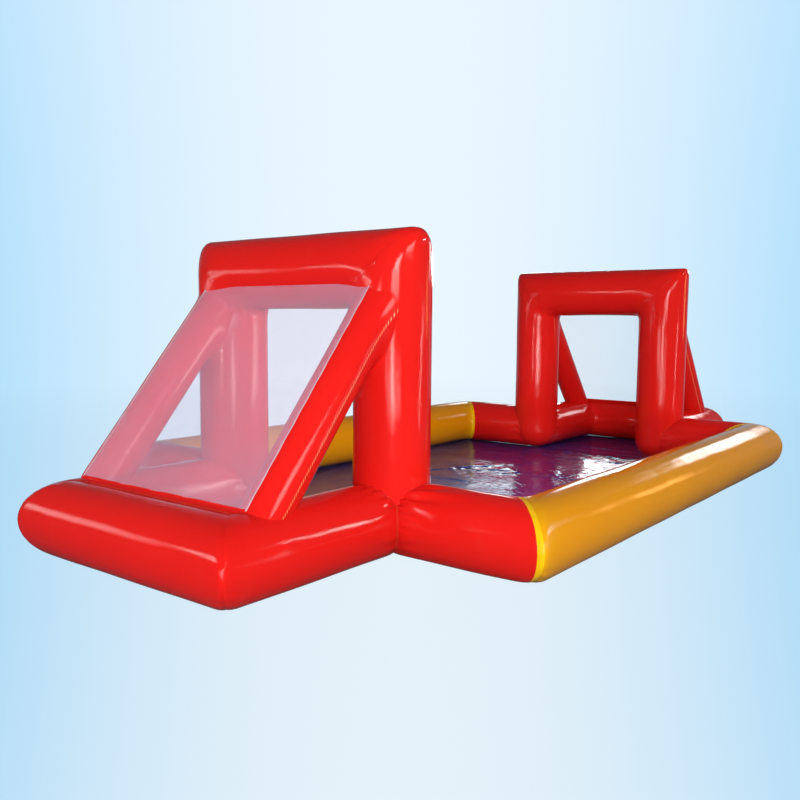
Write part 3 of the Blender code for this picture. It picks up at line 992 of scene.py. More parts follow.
@dataclass
class AirTube:
    """One inflated tube, rolled from a sheet and drawn in at the welds of its two ends.

    While it is built it keeps each point's angle, spoke (the direction out of the tube's axis) and
    distances from both welds.
    """

    EVEN_SHARE = 0.45
    GROUND_ZONE = 0.03
    GROUND_BEND = 0.003
    CALM_RADIUS = 0.10
    WAVES = 7
    WAVE_HEIGHT = 0.0006
    LAP_WIDTH = 0.1

    node: str
    start: Vector
    end: Vector
    radius: float
    cuts: tuple[Any, Any]
    puckers: tuple[Puckers, Puckers]
    material: bpy.types.Material
    zero_side: Vector
    slot: Slot = Slot.RED
    sides: int = 120
    rows: int = 100
    shapes: tuple[Any, ...] = ()
    calm: Vector | None = None
    hole: float = 0.022
    quiet: tuple[float, float] = (0.0, 0.0)
    overlapped: bool = False
    flare: Flare | None = None

    def build(self) -> None:
        """Models the tube, with its points closer to one another near both welds."""
        obj, height = self._roll()
        share = (self.EVEN_SHARE * height
                 + (1 - self.EVEN_SHARE) * (1 - np.cos(math.pi * height)) / 2)
        low, high = self._ends(np.zeros_like(height))
        self.from_start, self.from_end = share * (high - low), (1 - share) * (high - low)
        rise = self._rise()
        if self.flare:
            rise = rise + self.flare.rise(self.spokes, self.from_start)
        low, high = self._ends(rise)
        if self.overlapped:
            point_value(obj, "corner_lap", np.maximum(0, 1 - self.from_end / self.LAP_WIDTH))
        self._dress(obj, self._lines(self.radius + rise), low + share * (high - low))

    def _roll(self) -> tuple[Piece, Array]:
        """Adds the unit cylinder, and works out the tube's directions.

        Returns:
            The piece and its points' heights from 0 to 1.
        """
        obj = open_cylinder(self.node + "_skin", self.sides, self.rows)
        unit = points_of(obj)
        self.angles = angles_of(unit)
        self.way = (self.end - self.start).normalized()
        first = (self.zero_side - self.zero_side.dot(self.way) * self.way).normalized()
        self.first, self.second = np.array(first), np.array(self.way.cross(first))
        self.direction = np.array(self.way)
        self.spokes = (np.cos(self.angles)[:, None] * self.first
                       + np.sin(self.angles)[:, None] * self.second)
        return obj, unit[:, 2]

    def _lines(self, radius: Array | float) -> Array:
        """Starts of the points' lines along the tube, at a radius."""
        return np.array(self.start) + np.reshape(radius, (-1, 1)) * self.spokes

    def _ends(self, rise: Array) -> tuple[Array, Array]:
        """How far along the tube its skin starts and ends, for a height above the plain tube."""
        lines = self._lines(self.radius + rise)
        return tuple(cut.reach(lines, self.direction) for cut in self.cuts)

    def _angle_of(self, side: Vector) -> float:
        """The angle round the tube at which a direction points."""
        return math.atan2(np.array(side) @ self.second, np.array(side) @ self.first)

    def _rise(self) -> Array:
        """How far the skin stands above the plain tube: puckers, pinches and soft unevenness.

        Returns:
            A height for each point.
        """
        total = np.zeros_like(self.angles)
        for puckers, distances in zip(self.puckers, (self.from_start, self.from_end)):
            gather = None if puckers.gather is None else self._angle_of(puckers.gather)
            total += puckers.rise(self.angles, distances, self.radius, gather)
        random = np.random.default_rng(self.puckers[0].seed + 7)
        for _ in range(self.WAVES):
            turns = random.integers(1, 4)
            wave = random.uniform(3.0, 9.0)
            shift = random.uniform(0, TURN, 2)
            total += (self.WAVE_HEIGHT * np.cos(turns * self.angles + shift[0])
                      * np.cos(wave * self.from_start + shift[1]))
        if self.calm is not None:
            spot = self._angle_of(self.calm - self.start)
            run = -self.cuts[0].reach(np.array(self.calm)[None, :], self.direction)[0]
            round_way = np.angle(np.exp(1j * (self.angles - spot))) * self.radius
            distance = round_way ** 2 + (self.from_start - run) ** 2
            total *= 1 - np.exp(-distance / self.CALM_RADIUS ** 2)
        return total

    def _dress(self, obj: Piece, lines: Array, along: Array) -> None:
        """Shapes the skin and gives it its sheet's map and finish.

        Args:
            obj: The piece.
            lines: Starts of its points' lines.
            along: How far each point lies along its line.
        """
        points = lines + along[:, None] * self.direction
        for shaping in self.shapes:
            points = shaping.shape(points)
        height = points[:, 2]
        lift = 0.5 * (height + np.sqrt(height ** 2 + self.GROUND_BEND ** 2))
        points[:, 2] = np.where(height < self.GROUND_ZONE, lift, height)
        lay(obj, points, self.spokes, np.mod(self.angles, TURN) * self.radius, self.from_start,
            TURN * self.radius)
        point_value(obj, "weld_distance", np.minimum(self.from_start + self.quiet[0],
                                                     self.from_end + self.quiet[1]))
        if self.calm is not None:
            self._pierce(obj)
        finish_piece(obj, self.material, [self.node])

    def _pierce(self, obj: Piece) -> None:
        """Cuts the skin's round hole for the valve, under the patch.

        Args:
            obj: The piece.
        """
        bpy.ops.object.mode_set(mode="EDIT")
        pick(obj, "FACE", lambda face: (face.calc_center_median() - self.calm).length < self.hole)
        bpy.ops.mesh.delete(type="FACE")
        for vert in bmesh.from_edit_mesh(obj.data).verts:
            away = vert.co - self.calm
            if vert.is_boundary and away.length < 2 * self.hole:
                spread = self.calm + away.normalized() * self.hole - self.start
                run = self.way * spread.dot(self.way)
                vert.co = self.start + run + (spread - run).normalized() * self.radius
        bmesh.update_edit_mesh(obj.data)
        bpy.ops.object.mode_set(mode="OBJECT")


@dataclass
class Post(AirTube):
    """A goal post, whose lower end closes as a rounded foot on the ground."""

    CLOSENESS = 1.15
    FOOT_TURN = math.radians(83)
    KNEE_QUIET = 0.06

    knee: float = 0.0

    def build(self) -> None:
        """Models the post from its mitre down to the ground."""
        obj, height = self._roll()
        cut = self.cuts[0]
        plain_top = cut.reach(self._lines(self.radius), self.direction)
        straight = self.start.z - self.knee
        self.from_start = height ** self.CLOSENESS * (
            straight + self.radius * self.FOOT_TURN - plain_top)
        run = plain_top + self.from_start
        bend = np.clip((run - straight) / self.radius, 0, self.FOOT_TURN)
        self.from_end = np.abs(run - straight) + self.KNEE_QUIET
        lines = self._lines((self.radius + self._rise()) * np.cos(bend))
        top = cut.reach(lines, self.direction)
        upper = top + self.from_start * (straight - top) / (straight - plain_top)
        lower = straight + self.knee * np.sin(bend)
        self._dress(obj, lines, np.where(run < straight, upper, lower))


@dataclass(frozen=True)
class Quarter:
    """One quarter of the pitch: the crossings of its tubes' axes, and its welded corners."""

    end: End
    side: Side

    @property
    def label(self) -> str:
        """The quarter's words in the nodes' names."""
        return f"{self.end.label}_{self.side.label}"

    def way(self, x: float, y: float, z: float = 0) -> Vector:
        """A vector that points out of the pitch with its X at this end, and Y at this side."""
        return Vector((self.end.value * x, self.side.value * y, z))

    @property
    def ring(self) -> Vector:
        """The crossing of a side tube's axis and an end tube's axis."""
        return self.way(SIZES.end_x, SIZES.side_y, SIZES.axis_height)

    @property
    def foot(self) -> Vector:
        """The point of the post's axis at the base tubes' height."""
        return self.way(SIZES.end_x, SIZES.goal_y, SIZES.axis_height)

    @property
    def base(self) -> Vector:
        """The crossing of the goal's side base tube and back base tube."""
        return self.way(SIZES.back_x, SIZES.goal_y, SIZES.axis_height)

    @property
    def bar(self) -> Vector:
        """The crossing of the post's axis and the crossbar's axis."""
        return self.way(SIZES.end_x, SIZES.goal_y, SIZES.bar_height)

    @property
    def bar_mitre(self) -> SoftMitre:
        """The corner of the post and its crossbar."""
        return SoftMitre(self.bar, self.way(0, 1), UP, *BAR_ROUNDING[self])

    @property
    def base_mitre(self) -> SoftMitre:
        """The corner of the goal's two floor tubes, behind the goal."""
        return SoftMitre(self.base, self.way(0, 1), self.way(1, 0), *BASE_ROUNDING[self])

    @property
    def ring_mitre(self) -> SoftMitre:
        """The corner of a long wall and an end wall."""
        return SoftMitre(self.ring, self.way(0, 1), self.way(1, 0), *RING_ROUNDING[self])

    @property
    def knot(self) -> Knot:
        """The spot where the post's weld meets the seam of the two floor tubes.

        Returns:
            The spot.
        """
        reach = SIZES.goal_radius / math.sqrt(2)
        away = self.way(reach, reach, math.sqrt(SIZES.ring_radius ** 2 - reach ** 2))
        return Knot(self.foot + away, -away.normalized())


# Near right, near left, far right and far left
QUARTERS = tuple(Quarter(end, side) for end, side in product(End, Side))


def rounding(face: float, *edges: float) -> dict[Quarter, tuple[float, float]]:
    """How far a kind of corner is rounded in each quarter: its outline and its face's ridge."""
    return {quarter: (edge, face) for quarter, edge in zip(QUARTERS, edges)}


BAR_ROUNDING = rounding(0.24, 0.095, 0.060, 0.050, 0.040)
BASE_ROUNDING = rounding(0.10, 0.030, 0.120, 0.080, 0.080)
RING_ROUNDING = rounding(0.16, 0.025, 0.080, 0.160, 0.080)

# Folds beside a post's foot, and beside the weld of a post and its crossbar
FOOT_FOLDS = {"count": 46, "depth": 0.0056, "length": 0.17, "pinch": 0.009}
BAR_FOLDS = {"depth": 0.0020, "length": 0.16, "pinch": 0.001}


def tube_from_foot(quarter: Quarter, name: str, along: Vector, flip: int, seed: int,
                   last: Puckers, soft_mitre: SoftMitre, **settings: Any) -> None:
    """Models a red floor tube from a post's foot to a corner.

    Args:
        quarter: Its quarter of the pitch.
        name: The first words of the tube's node.
        along: Its direction.
        flip: 1 for a wall of the ring, and -1 for a goal's base.
        seed: The seed of the puckers at the foot.
        last: The puckers at the corner.
        soft_mitre: The corner.
        settings: The tube's other values.
    """
    foot = quarter.foot
    planes = Mitre(foot, quarter.way(1, -1)), Mitre(foot, along)
    cuts = (Saddle(planes, (PostSpace(foot, SIZES.goal_radius),)),
            Mitre(soft_mitre.corner, quarter.way(-flip, flip)))
    first = Puckers(seed=seed, gather=quarter.way(flip, -flip, 0.6), **FOOT_FOLDS)
    AirTube(f"{name}_{quarter.label}", foot, soft_mitre.corner, SIZES.ring_radius, cuts,
            (first, last), quiet=(0.0, 0.05), shapes=(soft_mitre, quarter.knot),
            **settings).build()


def tube_between(node: str, quarters: Sequence[Quarter], corners: Sequence[SoftMitre],
                 normal: Triple, puckers: Sequence[Puckers], **settings: Any) -> None:
    """Models a tube between the same kind of corner in two quarters.

    Args:
        node: The tube's node.
        quarters: Its two quarters.
        corners: Its corners in them.
        normal: The normal of the corners' planes, as it is in a quarter.
        puckers: The puckers at both corners.
        settings: The tube's other values.
    """
    cuts = tuple(Mitre(soft.corner, quarter.way(*normal))
                 for soft, quarter in zip(corners, quarters))
    AirTube(node, corners[0].corner, corners[1].corner, cuts=cuts, puckers=tuple(puckers),
            shapes=tuple(corners), **settings).build()


@dataclass
class Ring:
    """The walls round the pitch: two long yellow tubes and four red end tubes."""

    wardrobe: Wardrobe

    def build(self) -> None:
        """Models the six tubes."""
        for side in Side:
            self._side_tube(side)
        for quarter in QUARTERS:
            self._end_tube(quarter)

    def _side_tube(self, side: Side) -> None:
        """Models a long yellow wall.

        Args:
            side: The side of the pitch.
        """
        inward, quarters = -side.value, [Quarter(end, side) for end in End]
        puckers = [Puckers(seed=31 + end.value + 5 * side.value, gather=Vector((0, inward, 0.3)))
                   for end in End]
        tube_between(f"side_tube_{side.label}", quarters,
                     [quarter.ring_mitre for quarter in quarters], (1, -1, 0), puckers,
                     radius=SIZES.ring_radius, material=self.wardrobe.yellow,
                     zero_side=Vector((0, inward, -1)), slot=Slot.YELLOW, rows=150,
                     quiet=(0.02, 0.02))

    def _end_tube(self, quarter: Quarter) -> None:
        """Models a red wall from the post to the corner.

        Args:
            quarter: The quarter of the pitch.
        """
        seeds = quarter.end.value + 5 * quarter.side.value
        last = Puckers(seed=71 + seeds, gather=quarter.way(-1, 0, 0.3))
        has_valve = quarter == Quarter(End.FAR, Side.LEFT)
        tube_from_foot(quarter, "end_tube", quarter.way(0, 1), 1, 57 + seeds, last,
                       quarter.ring_mitre, material=self.wardrobe.red,
                       zero_side=quarter.way(-1, 0, -1), overlapped=True,
                       calm=valve_place("ring")[0] if has_valve else None)


@dataclass
class Goal:
    """One goal: floor tubes, posts, crossbar, struts and the net with its hem and tapes."""

    end: End
    wardrobe: Wardrobe

    def build(self) -> None:
        """Models the goal."""
        quarters = [Quarter(self.end, side) for side in Side]
        for quarter in quarters:
            self._base_side(quarter)
            self._post(quarter)
            self._strut(quarter)
        back = -self.end.value
        cross = {"material": self.wardrobe.red, "quiet": (0.05, 0.05)}
        tube_between(
            f"goal_base_back_{self.end.label}", quarters,
            [quarter.base_mitre for quarter in quarters], (-1, 1, 0),
            [Puckers(seed=self._seed(quarter, 3), gather=Vector((back, 0, 0.2)), depth=0.0026)
             for quarter in quarters],
            radius=SIZES.ring_radius, zero_side=Vector((back, 0, -1)), **cross)
        tube_between(
            f"goal_crossbar_{self.end.label}", quarters,
            [quarter.bar_mitre for quarter in quarters], (0, 1, -1),
            [Puckers(seed=self._seed(quarter, 6), gather=-UP, **BAR_FOLDS)
             for quarter in quarters],
            radius=SIZES.goal_radius, zero_side=Vector((-back, 0, -1)), **cross)
        Net(self.end, self.wardrobe).build()

    def _seed(self, quarter: Quarter, part: int) -> int:
        """A steady seed for one piece's puckers."""
        return 100 + 13 * part + self.end.value + 3 * quarter.side.value

    def _base_side(self, quarter: Quarter) -> None:
        """Models the floor tube beside the goal.

        Args:
            quarter: The quarter of the pitch.
        """
        last = Puckers(seed=self._seed(quarter, 2), gather=quarter.way(0, -1, 0.2), depth=0.0026)
        has_valve = quarter.side is Side.LEFT
        tube_from_foot(quarter, "goal_base_side", quarter.way(1, 0), -1, self._seed(quarter, 1),
                       last, quarter.base_mitre, material=self.wardrobe.red,
                       zero_side=quarter.way(0, -1, -1),
                       calm=valve_place(f"goal_{self.end.label}")[0] if has_valve else None)

    def _post(self, quarter: Quarter) -> None:
        """Models a post.

        Args:
            quarter: The quarter of the pitch.
        """
        puckers = (
            Puckers(seed=self._seed(quarter, 4), gather=quarter.way(0, -1, -0.2), **BAR_FOLDS),
            Puckers(seed=self._seed(quarter, 5), gather=quarter.way(-1, 1), length=0.12,
                    pinch=0.004))
        Post(f"goal_post_{quarter.label}", quarter.bar, quarter.foot, SIZES.goal_radius,
             (Mitre(quarter.bar, quarter.way(0, -1, 1)), None), puckers, self.wardrobe.red,
             quarter.way(1, -0.4), shapes=(quarter.bar_mitre,), quiet=(0.05, 0.0),
             knee=SIZES.axis_height).build()

    def _strut(self, quarter: Quarter) -> None:
        """Models an inclined strut.

        Args:
            quarter: The quarter of the pitch.
        """
        head, foot = SIZES.strut_line(self.end, quarter.bar.y)
        down = (foot - head).normalized()
        along, across = Vector((1, 0, 0)), Vector((0, 1, 0))
        top_spaces = (PostSpace(quarter.foot, SIZES.goal_radius),
                      RoundSpace(quarter.bar, across, SIZES.goal_radius))
        low_spaces = tuple(RoundSpace(quarter.base, axis, SIZES.ring_radius)
                           for axis in (along, across))
        cuts = (Saddle((Mitre(head, down),), top_spaces),
                Saddle((Mitre(foot, down),), low_spaces, 0.012, -1))
        puckers = (
            Puckers(seed=self._seed(quarter, 7), count=20, depth=0.0010, length=0.09,
                    pinch=0.001),
            Puckers(seed=self._seed(quarter, 8), count=30, depth=0.0020, length=0.08,
                    pinch=0.004))
        crown = Vector((0, -self.end.value, 0)).cross(down)
        AirTube(f"goal_strut_{quarter.label}", head, foot, SIZES.strut_radius, cuts, puckers,
                self.wardrobe.strut, quarter.way(0, 1) - 0.25 * crown, sides=90,
                quiet=(0.05, 0.0), flare=Flare(crown)).build()


# Nets

@dataclass
class Net:
    """The mesh on a goal's inclined back, its hem on the back base tube and its edge tapes."""

    TOP_TUCK = 0.02
    SEAM_LAP = 0.004
    TAPE_START = 0.03
    TAPE_SHORT = 0.02
    TAPE_BULGE = 0.0007
    FLAP_CURL = 9.0
    LAYER = 0.0012

    end: End
    wardrobe: Wardrobe
    half_width: float = 0.775
    lift: float = 0.0022
    hem_width: float = 0.045
    flap: float = 0.034
    tape_width: float = 0.009
    sag: float = 0.012
    strut_line: float = 0.745

    def __post_init__(self) -> None:
        """Works out the inclined plane and where it meets the tubes."""
        head, foot = SIZES.strut_line(self.end, 0.0)
        self.down = (foot - head).normalized()
        self.normal = Vector((0, -self.end.value, 0)).cross(self.down)
        self.start = head + self.normal * SIZES.strut_radius
        self.back = Quarter(self.end, Side.RIGHT).base
        bar = Quarter(self.end, Side.RIGHT).bar
        self.top = self._crossing(bar, SIZES.goal_radius, 1) - self.TOP_TUCK
        self.bottom = self._crossing(self.back, SIZES.ring_radius, -1)
        self.seam = self.bottom - self.hem_width
        self.drop = self.seam - self.top

    def _crossing(self, centre: Vector, radius: float, sign: int) -> float:
        """How far down the plane it crosses a level tube.

        Args:
            centre: A point of the tube's axis.
            radius: The tube's radius.
            sign: 1 for the tube's lower crossing, -1 for its upper one.

        Returns:
            The distance from the plane's start.
        """
        away = centre - self.start
        away.y = 0
        return away.dot(self.down) + sign * math.sqrt(radius ** 2 - away.dot(self.normal) ** 2)

    def _place(self, across: Array, along: Array, height: Array | float) -> Array:
        """Points on the plane.

        Args:
            across: Metres from the goal's middle towards the left wall.
            along: Metres down the plane.
            height: Metres out of the plane.

        Returns:
            The points.
        """
        points = np.array(self.start) + along[:, None] * np.array(self.down)
        points = points + np.outer(np.broadcast_to(height, along.shape), np.array(self.normal))
        points[:, 1] = across
        return points

    def _height(self, across: Array, along: Array) -> Array:
        """How far the net stands out of the plane: a hollow between the struts and ripples.

        Args:
            across: Metres from the goal's middle towards the left wall.
            along: Metres down the plane.

        Returns:
            A height for each point.
        """
        wide = np.clip(1 - (across / self.strut_line) ** 2, 0, 1)
        deep = np.clip((along - self.top) / self.drop, 0, 1)
        belly = self.sag * wide * np.sin(math.pi * deep)
        ripple = (0.0022 * np.sin(across * 21 + along * 4) * wide
                  * np.exp(-((self.seam - along) / 0.22) ** 2))
        free = np.clip((np.abs(across) - self.strut_line) / (self.half_width - self.strut_line),
                       0, 1)
        return self.lift + ripple - belly + 0.0012 * free * (1 + np.sin(along * 34))

    def build(self) -> None:
        """Models the mesh, the hem and the tapes."""
        mesh = self._mesh()
        hem = self._hem()
        tapes = [self._tape(side) for side in Side]
        label = self.end.label
        [f"goal_strut_{label}_{side.label}_skin" for side in Side]

    def _mesh(self) -> Piece:
        """Models the mesh panel.

        Returns:
            The piece.
        """
        node = f"goal_net_{self.end.label}"
        obj, x, y = unit_grid(node + "_mesh", 90, 90)
        across = (x * 2 - 1) * self.half_width
        along = self.top + y * (self.drop + self.SEAM_LAP)
        lay(obj, self._place(across, along, self._height(across, along)), self.normal,
            across + self.half_width, along - self.top)
        return finish_piece(obj, self.wardrobe.mesh[self.end], [node])

    def _hem(self) -> Piece:
        """Models the red strip that joins the mesh to the back base tube, with its flap.

        Returns:
            The piece.
        """
        node = f"net_hem_{self.end.label}"
        obj, x, y = unit_grid(node + "_strip", 120, 16)
        across = (x * 2 - 1) * self.half_width
        run = y * (self.hem_width + self.flap)
        on_plane = np.minimum(run, self.hem_width)
        past = np.maximum(run - self.hem_width, 0)
        wave = ((0.0016 * np.sin(across * 17) + 0.0008 * np.sin(across * 43 + 1))
                * np.sin(math.pi * np.clip(on_plane / self.hem_width, 0, 1)))
        outer = self.lift + self.LAYER
        points = self._place(across, self.seam + on_plane, outer + wave)
        centre = self.back
        meeting = self._place(np.zeros(1), np.array([self.bottom]), outer)[0]
        first = math.atan2(meeting[2] - centre.z, (meeting[0] - centre.x) * self.end.value)
        angle = first - past / SIZES.ring_radius
        radius = SIZES.ring_radius + self.lift - self.FLAP_CURL * past ** 2
        on_tube = run > self.hem_width
        points[:, 0] = np.where(on_tube, centre.x + self.end.value * radius * np.cos(angle),
                                points[:, 0])
        points[:, 2] = np.where(on_tube, centre.z + radius * np.sin(angle), points[:, 2])
        lay(obj, points, self.normal, across + self.half_width, run)
        point_value(obj, "weld_distance", np.abs(run - self.hem_width))
        return finish_piece(obj, self.wardrobe.red, [node])

    def _tape(self, side: Side) -> Piece:
        """Models the woven tape along one edge of the mesh.

        Args:
            side: The side of the pitch.

        Returns:
            The piece.
        """
        obj, x, y = unit_grid(f"net_tape_{self.end.label}_{side.label}", 4, 160)
        run = y * (self.drop - self.TAPE_SHORT)
        across = side.value * (self.half_width + 0.001 - x * self.tape_width)
        along = self.top + self.TAPE_START + run
        height = (self._height(across, along) + self.LAYER
                  + self.TAPE_BULGE * np.sin(math.pi * x))
        lay(obj, self._place(across, along, height), self.normal, x * self.tape_width, run)
        return finish_piece(obj, self.wardrobe.tape)


# Floor

@dataclass(frozen=True)
class Creases:
    """Soft folds of a floor sheet, each a bent ridge with a long tapering run."""

    EDGE_SHARE = 0.6

    seed: int
    count: int
    width: float
    length: float
    height: float

    def rise(self, x: Array, y: Array, half_x: float, half_y: float) -> Array:
        """The folds' height over the sheet.

        Args:
            x: Places along the sheet from its middle.
            y: Places across it.
            half_x: Half its length.
            half_y: Half its width.

        Returns:
            A height for each place.
        """
        random = np.random.default_rng(self.seed)
        total = np.zeros_like(x)
        for _ in range(self.count):
            centre = [random.uniform(-half, half) for half in (half_x, half_y)]
            if random.uniform(0, 1) < self.EDGE_SHARE:
                axis = random.integers(0, 2)
                centre[axis] = ((half_x, half_y)[axis] * random.choice((-1, 1))
                                * random.uniform(0.78, 0.97))
            heading = random.uniform(0, math.pi)
            width = self.width * random.uniform(0.5, 1.4)
            length = self.length * random.uniform(0.4, 1.3)
            bend = random.uniform(-0.5, 0.5)
            height = self.height * random.uniform(0.3, 1.0)
            from_x, from_y = x - centre[0], y - centre[1]
            run = from_x * math.cos(heading) + from_y * math.sin(heading)
            off = -from_x * math.sin(heading) + from_y * math.cos(heading) - bend * run ** 2
            total += height * np.exp(-(run / length) ** 2) / np.cosh(off / width) ** 2
        return total


@dataclass
class FloorSheet:
    """The dark blue sheet between the tubes, and its continuation into the goals."""

    wardrobe: Wardrobe
    spacing: float = 0.022
    thickness: float = 0.0009
    tallest: float = 0.020
    edge_width: float = 0.16

    def build(self) -> None:
        """Models the three sheets."""
        self._sheet("floor_main", 5, 130)
        for end in End:
            self._sheet(f"floor_goal_{end.label}", 20 + end.value, 36)

    def _sheet(self, node: str, seed: int, folds: int) -> None:
        """Models one sheet over its node's area.

        Args:
            node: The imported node.
            seed: The folds' seed.
            folds: How many folds it has.
        """
        low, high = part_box(node)
        size = (high[0] - low[0], high[1] - low[1])
        obj, share_x, share_y = unit_grid(
            node + "_vinyl", *(round(length / self.spacing) for length in size))
        x, y = low[0] + share_x * size[0], low[1] + share_y * size[1]
        half_x, half_y = size[0] / 2, size[1] / 2
        from_x, from_y = x - (low[0] + half_x), y - (low[1] + half_y)
        rise = (Creases(seed, folds, 0.030, 0.30, 0.011).rise(from_x, from_y, half_x, half_y)
                + Creases(seed + 1, folds * 2, 0.012, 0.12, 0.0045).rise(
                    from_x, from_y, half_x, half_y))
        if node == "floor_main":
            rise = rise + Creases(seed + 2, 90, 0.016, 0.22, 0.012).rise(
                x - 1.4, y + 0.1, 0.9, 0.8)
        edge = np.minimum(half_x - np.abs(from_x), half_y - np.abs(from_y))
        rise = (self.tallest * np.tanh(rise / self.tallest)
                * np.clip(edge / self.edge_width, 0, 1) ** 1.5)
        rise = rise + 0.0012 * (1 + np.sin(x * 9 + np.sin(y * 5))) * np.clip(edge / 0.2, 0, 1)
        lay(obj, np.stack([x, y, self.thickness + rise], axis=1), UP, x - low[0], y - low[1])
        finish_piece(obj, self.wardrobe.floor, [node])


# Valves

def valve_place(label: str) -> tuple[Vector, Vector]:
    """A valve's middle on its tube's axis line, at the skin, and its outward direction.

    Args:
        label: The valve's word in the nodes' names.

    Returns:
        The place on the skin and the direction.
    """
    number, axis = (0, SIZES.end_x) if label == "ring" else (1, SIZES.goal_y)
    place, outward = (Vector([middle(f"valve_nut_{label}", way) for way in range(3)]), Vector())
    place[number] = axis + SIZES.ring_radius
    outward[number] = 1
    return place, outward


@dataclass
class Valve:
    """The look of one valve: finishes for its nodes, a spring, a welded patch and grip ribs."""

    label: str
    wardrobe: Wardrobe
    patch_radius: float = 0.075
    hole_radius: float = 0.0172
    patch_thickness: float = 0.0009
    ribs: int = 28
    rib_size: Triple = (0.0014, 0.0016, 0.0026)
    rib_height: float = 0.0022
    wire: float = 0.0008
    coil_turns: float = 4.5
    stroke: float = 0.006

    def build(self) -> None:
        """Dresses the nodes and models the spring, the patch and the ribs."""
        looks = {"body": self.wardrobe.plastic, "nut": self.wardrobe.plastic,
                 "plunger": self.wardrobe.plastic, "seal": self.wardrobe.rubber,
                 "cap": self.wardrobe.cap, "tether": self.wardrobe.rubber}
        for piece, material in looks.items():
            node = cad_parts[f"valve_{piece}_{self.label}"]
            node.data.materials.clear()
            node.data.materials.append(material)
            LOG.info("%s: dressed", node.name)
        self.place, self.outward = valve_place(self.label)
        self.turn = np.array(UP.rotation_difference(self.outward).to_matrix()).T
        self._coil()
        self._patch()
        self._cap_ribs()

    def _coil(self) -> None:
        """Models the spring round the stem."""
        node = f"valve_spring_{self.label}"
        low, high = (Vector(corner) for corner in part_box(node))
        outward = self.outward
        length = (high - low).dot(outward)
        foot = (low + high) / 2 - outward * length / 2
        width = math.sqrt(((high - low).length_squared - length ** 2) / 2)
        obj = open_cylinder(f"valve_coil_{self.label}", 10, 100)
        bpy.ops.object.mode_set(mode="EDIT")
        bpy.ops.mesh.select_all(action="SELECT")
        bpy.ops.mesh.fill_holes(sides=10)
        bpy.ops.mesh.select_all(action="SELECT")
        bpy.ops.mesh.normals_make_consistent(inside=False)
        bpy.ops.object.mode_set(mode="OBJECT")
        unit = points_of(obj)
        turned = unit[:, 2] * self.coil_turns * TURN
        reach = width / 2 - self.wire / 2 + unit[:, 0] * self.wire / 2
        rise = self.wire / 2 + unit[:, 2] * (length - self.wire) + unit[:, 1] * self.wire / 2
        points = np.column_stack((reach * np.cos(turned), reach * np.sin(turned), rise))
        move_points(obj, points @ self.turn + np.array(foot))
        finish_piece(obj, self.wardrobe.steel, (node,))
        f"valve_press_{self.label}"
        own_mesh(obj)

    def _patch(self) -> None:
        """Models the round patch of vinyl that is welded round the valve."""
        obj = open_cylinder(f"valve_patch_{self.label}", 72, 24)
        unit = points_of(obj)
        angles = angles_of(unit)
        reach = self.hole_radius + unit[:, 2] * (self.patch_radius - self.hole_radius)
        edge = self.patch_radius - reach
        height = (self.patch_thickness * np.clip(edge / 0.0015, 0, 1) + 0.0004
                  + 0.0003 * np.exp(-((edge - 0.006) / 0.002) ** 2))
        round_way, along = reach * np.sin(angles), reach * np.cos(angles)
        radius = SIZES.ring_radius + height
        lift = radius * np.cos(round_way / SIZES.ring_radius) - SIZES.ring_radius
        rise = radius * np.sin(round_way / SIZES.ring_radius)
        axes = np.array([self.outward, UP.cross(self.outward), UP])
        lay(obj, np.array(self.place) + np.column_stack((lift, along, rise)) @ axes,
            self.outward, along + 5, round_way + 5)
        point_value(obj, "weld_distance", edge)
        finish_piece(obj, self.wardrobe.red)

    def _cap_ribs(self) -> None:
        """Models the grip ribs round the cap's skirt, which turn with it."""
        low, high = (Vector(corner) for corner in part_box(f"valve_cap_{self.label}"))
        centre = (low + high) / 2
        number = list(self.outward).index(1)
        centre[number] = low[number] + self.rib_height
        radius = max((high - low) * (Vector((1, 1, 1)) - self.outward)) / 2
        obj = primitive(f"valve_cap_ribs_{self.label}", bpy.ops.mesh.primitive_cube_add, size=1.0)
        obj.scale = self.rib_size
        obj.location = (radius + 0.0002, 0, 0)
        bpy.ops.object.transform_apply(location=True, rotation=True, scale=True)
        bpy.ops.object.mode_set(mode="EDIT")
        bpy.ops.mesh.select_all(action="SELECT")
        bpy.ops.mesh.bevel(offset=0.0004, segments=2)
        for _ in range(self.ribs - 1):
            bpy.ops.mesh.duplicate()
            bpy.ops.transform.rotate(value=-TURN / self.ribs, orient_axis="Z",
                                     center_override=(0, 0, 0))
        bpy.ops.object.mode_set(mode="OBJECT")
        move_points(obj, points_of(obj) @ self.turn + np.array(centre))
        finish_piece(obj, self.wardrobe.cap, body=f"cap_{self.label}")


# Studio

@dataclass(frozen=True)
class Eye:
    """The camera, from the photograph's own perspective."""

    place: Triple = (-6.555, -4.060, 1.506)
    yaw: float = math.radians(37.736)
    pitch: float = math.radians(5.455)
    roll: float = math.radians(-0.461)
    focal_length: float = 37.35
    sensor: float = 36.0

    def build(self) -> Vector:
        """Makes the scene's camera.

        Returns:
            The camera's right hand direction.
        """
        forward = Vector((math.cos(self.yaw) * math.cos(self.pitch),
                          math.sin(self.yaw) * math.cos(self.pitch), -math.sin(self.pitch)))
        right = Vector((math.sin(self.yaw), -math.cos(self.yaw), 0))
        down = forward.cross(right)
        turned_right = math.cos(self.roll) * right + math.sin(self.roll) * down
        turned_down = -math.sin(self.roll) * right + math.cos(self.roll) * down
        axes = Matrix((turned_right, -turned_down, -forward)).transposed()
        data = bpy.data.cameras.new("camera")
        data.lens = self.focal_length
        data.sensor_width = self.sensor
        data.clip_end = 200.0
        camera = bpy.data.objects.new("camera", data)
        camera.matrix_world = Matrix.Translation(self.place) @ axes.to_4x4()
        bpy.context.scene.collection.objects.link(camera)
        bpy.context.scene.camera = camera
        return turned_right


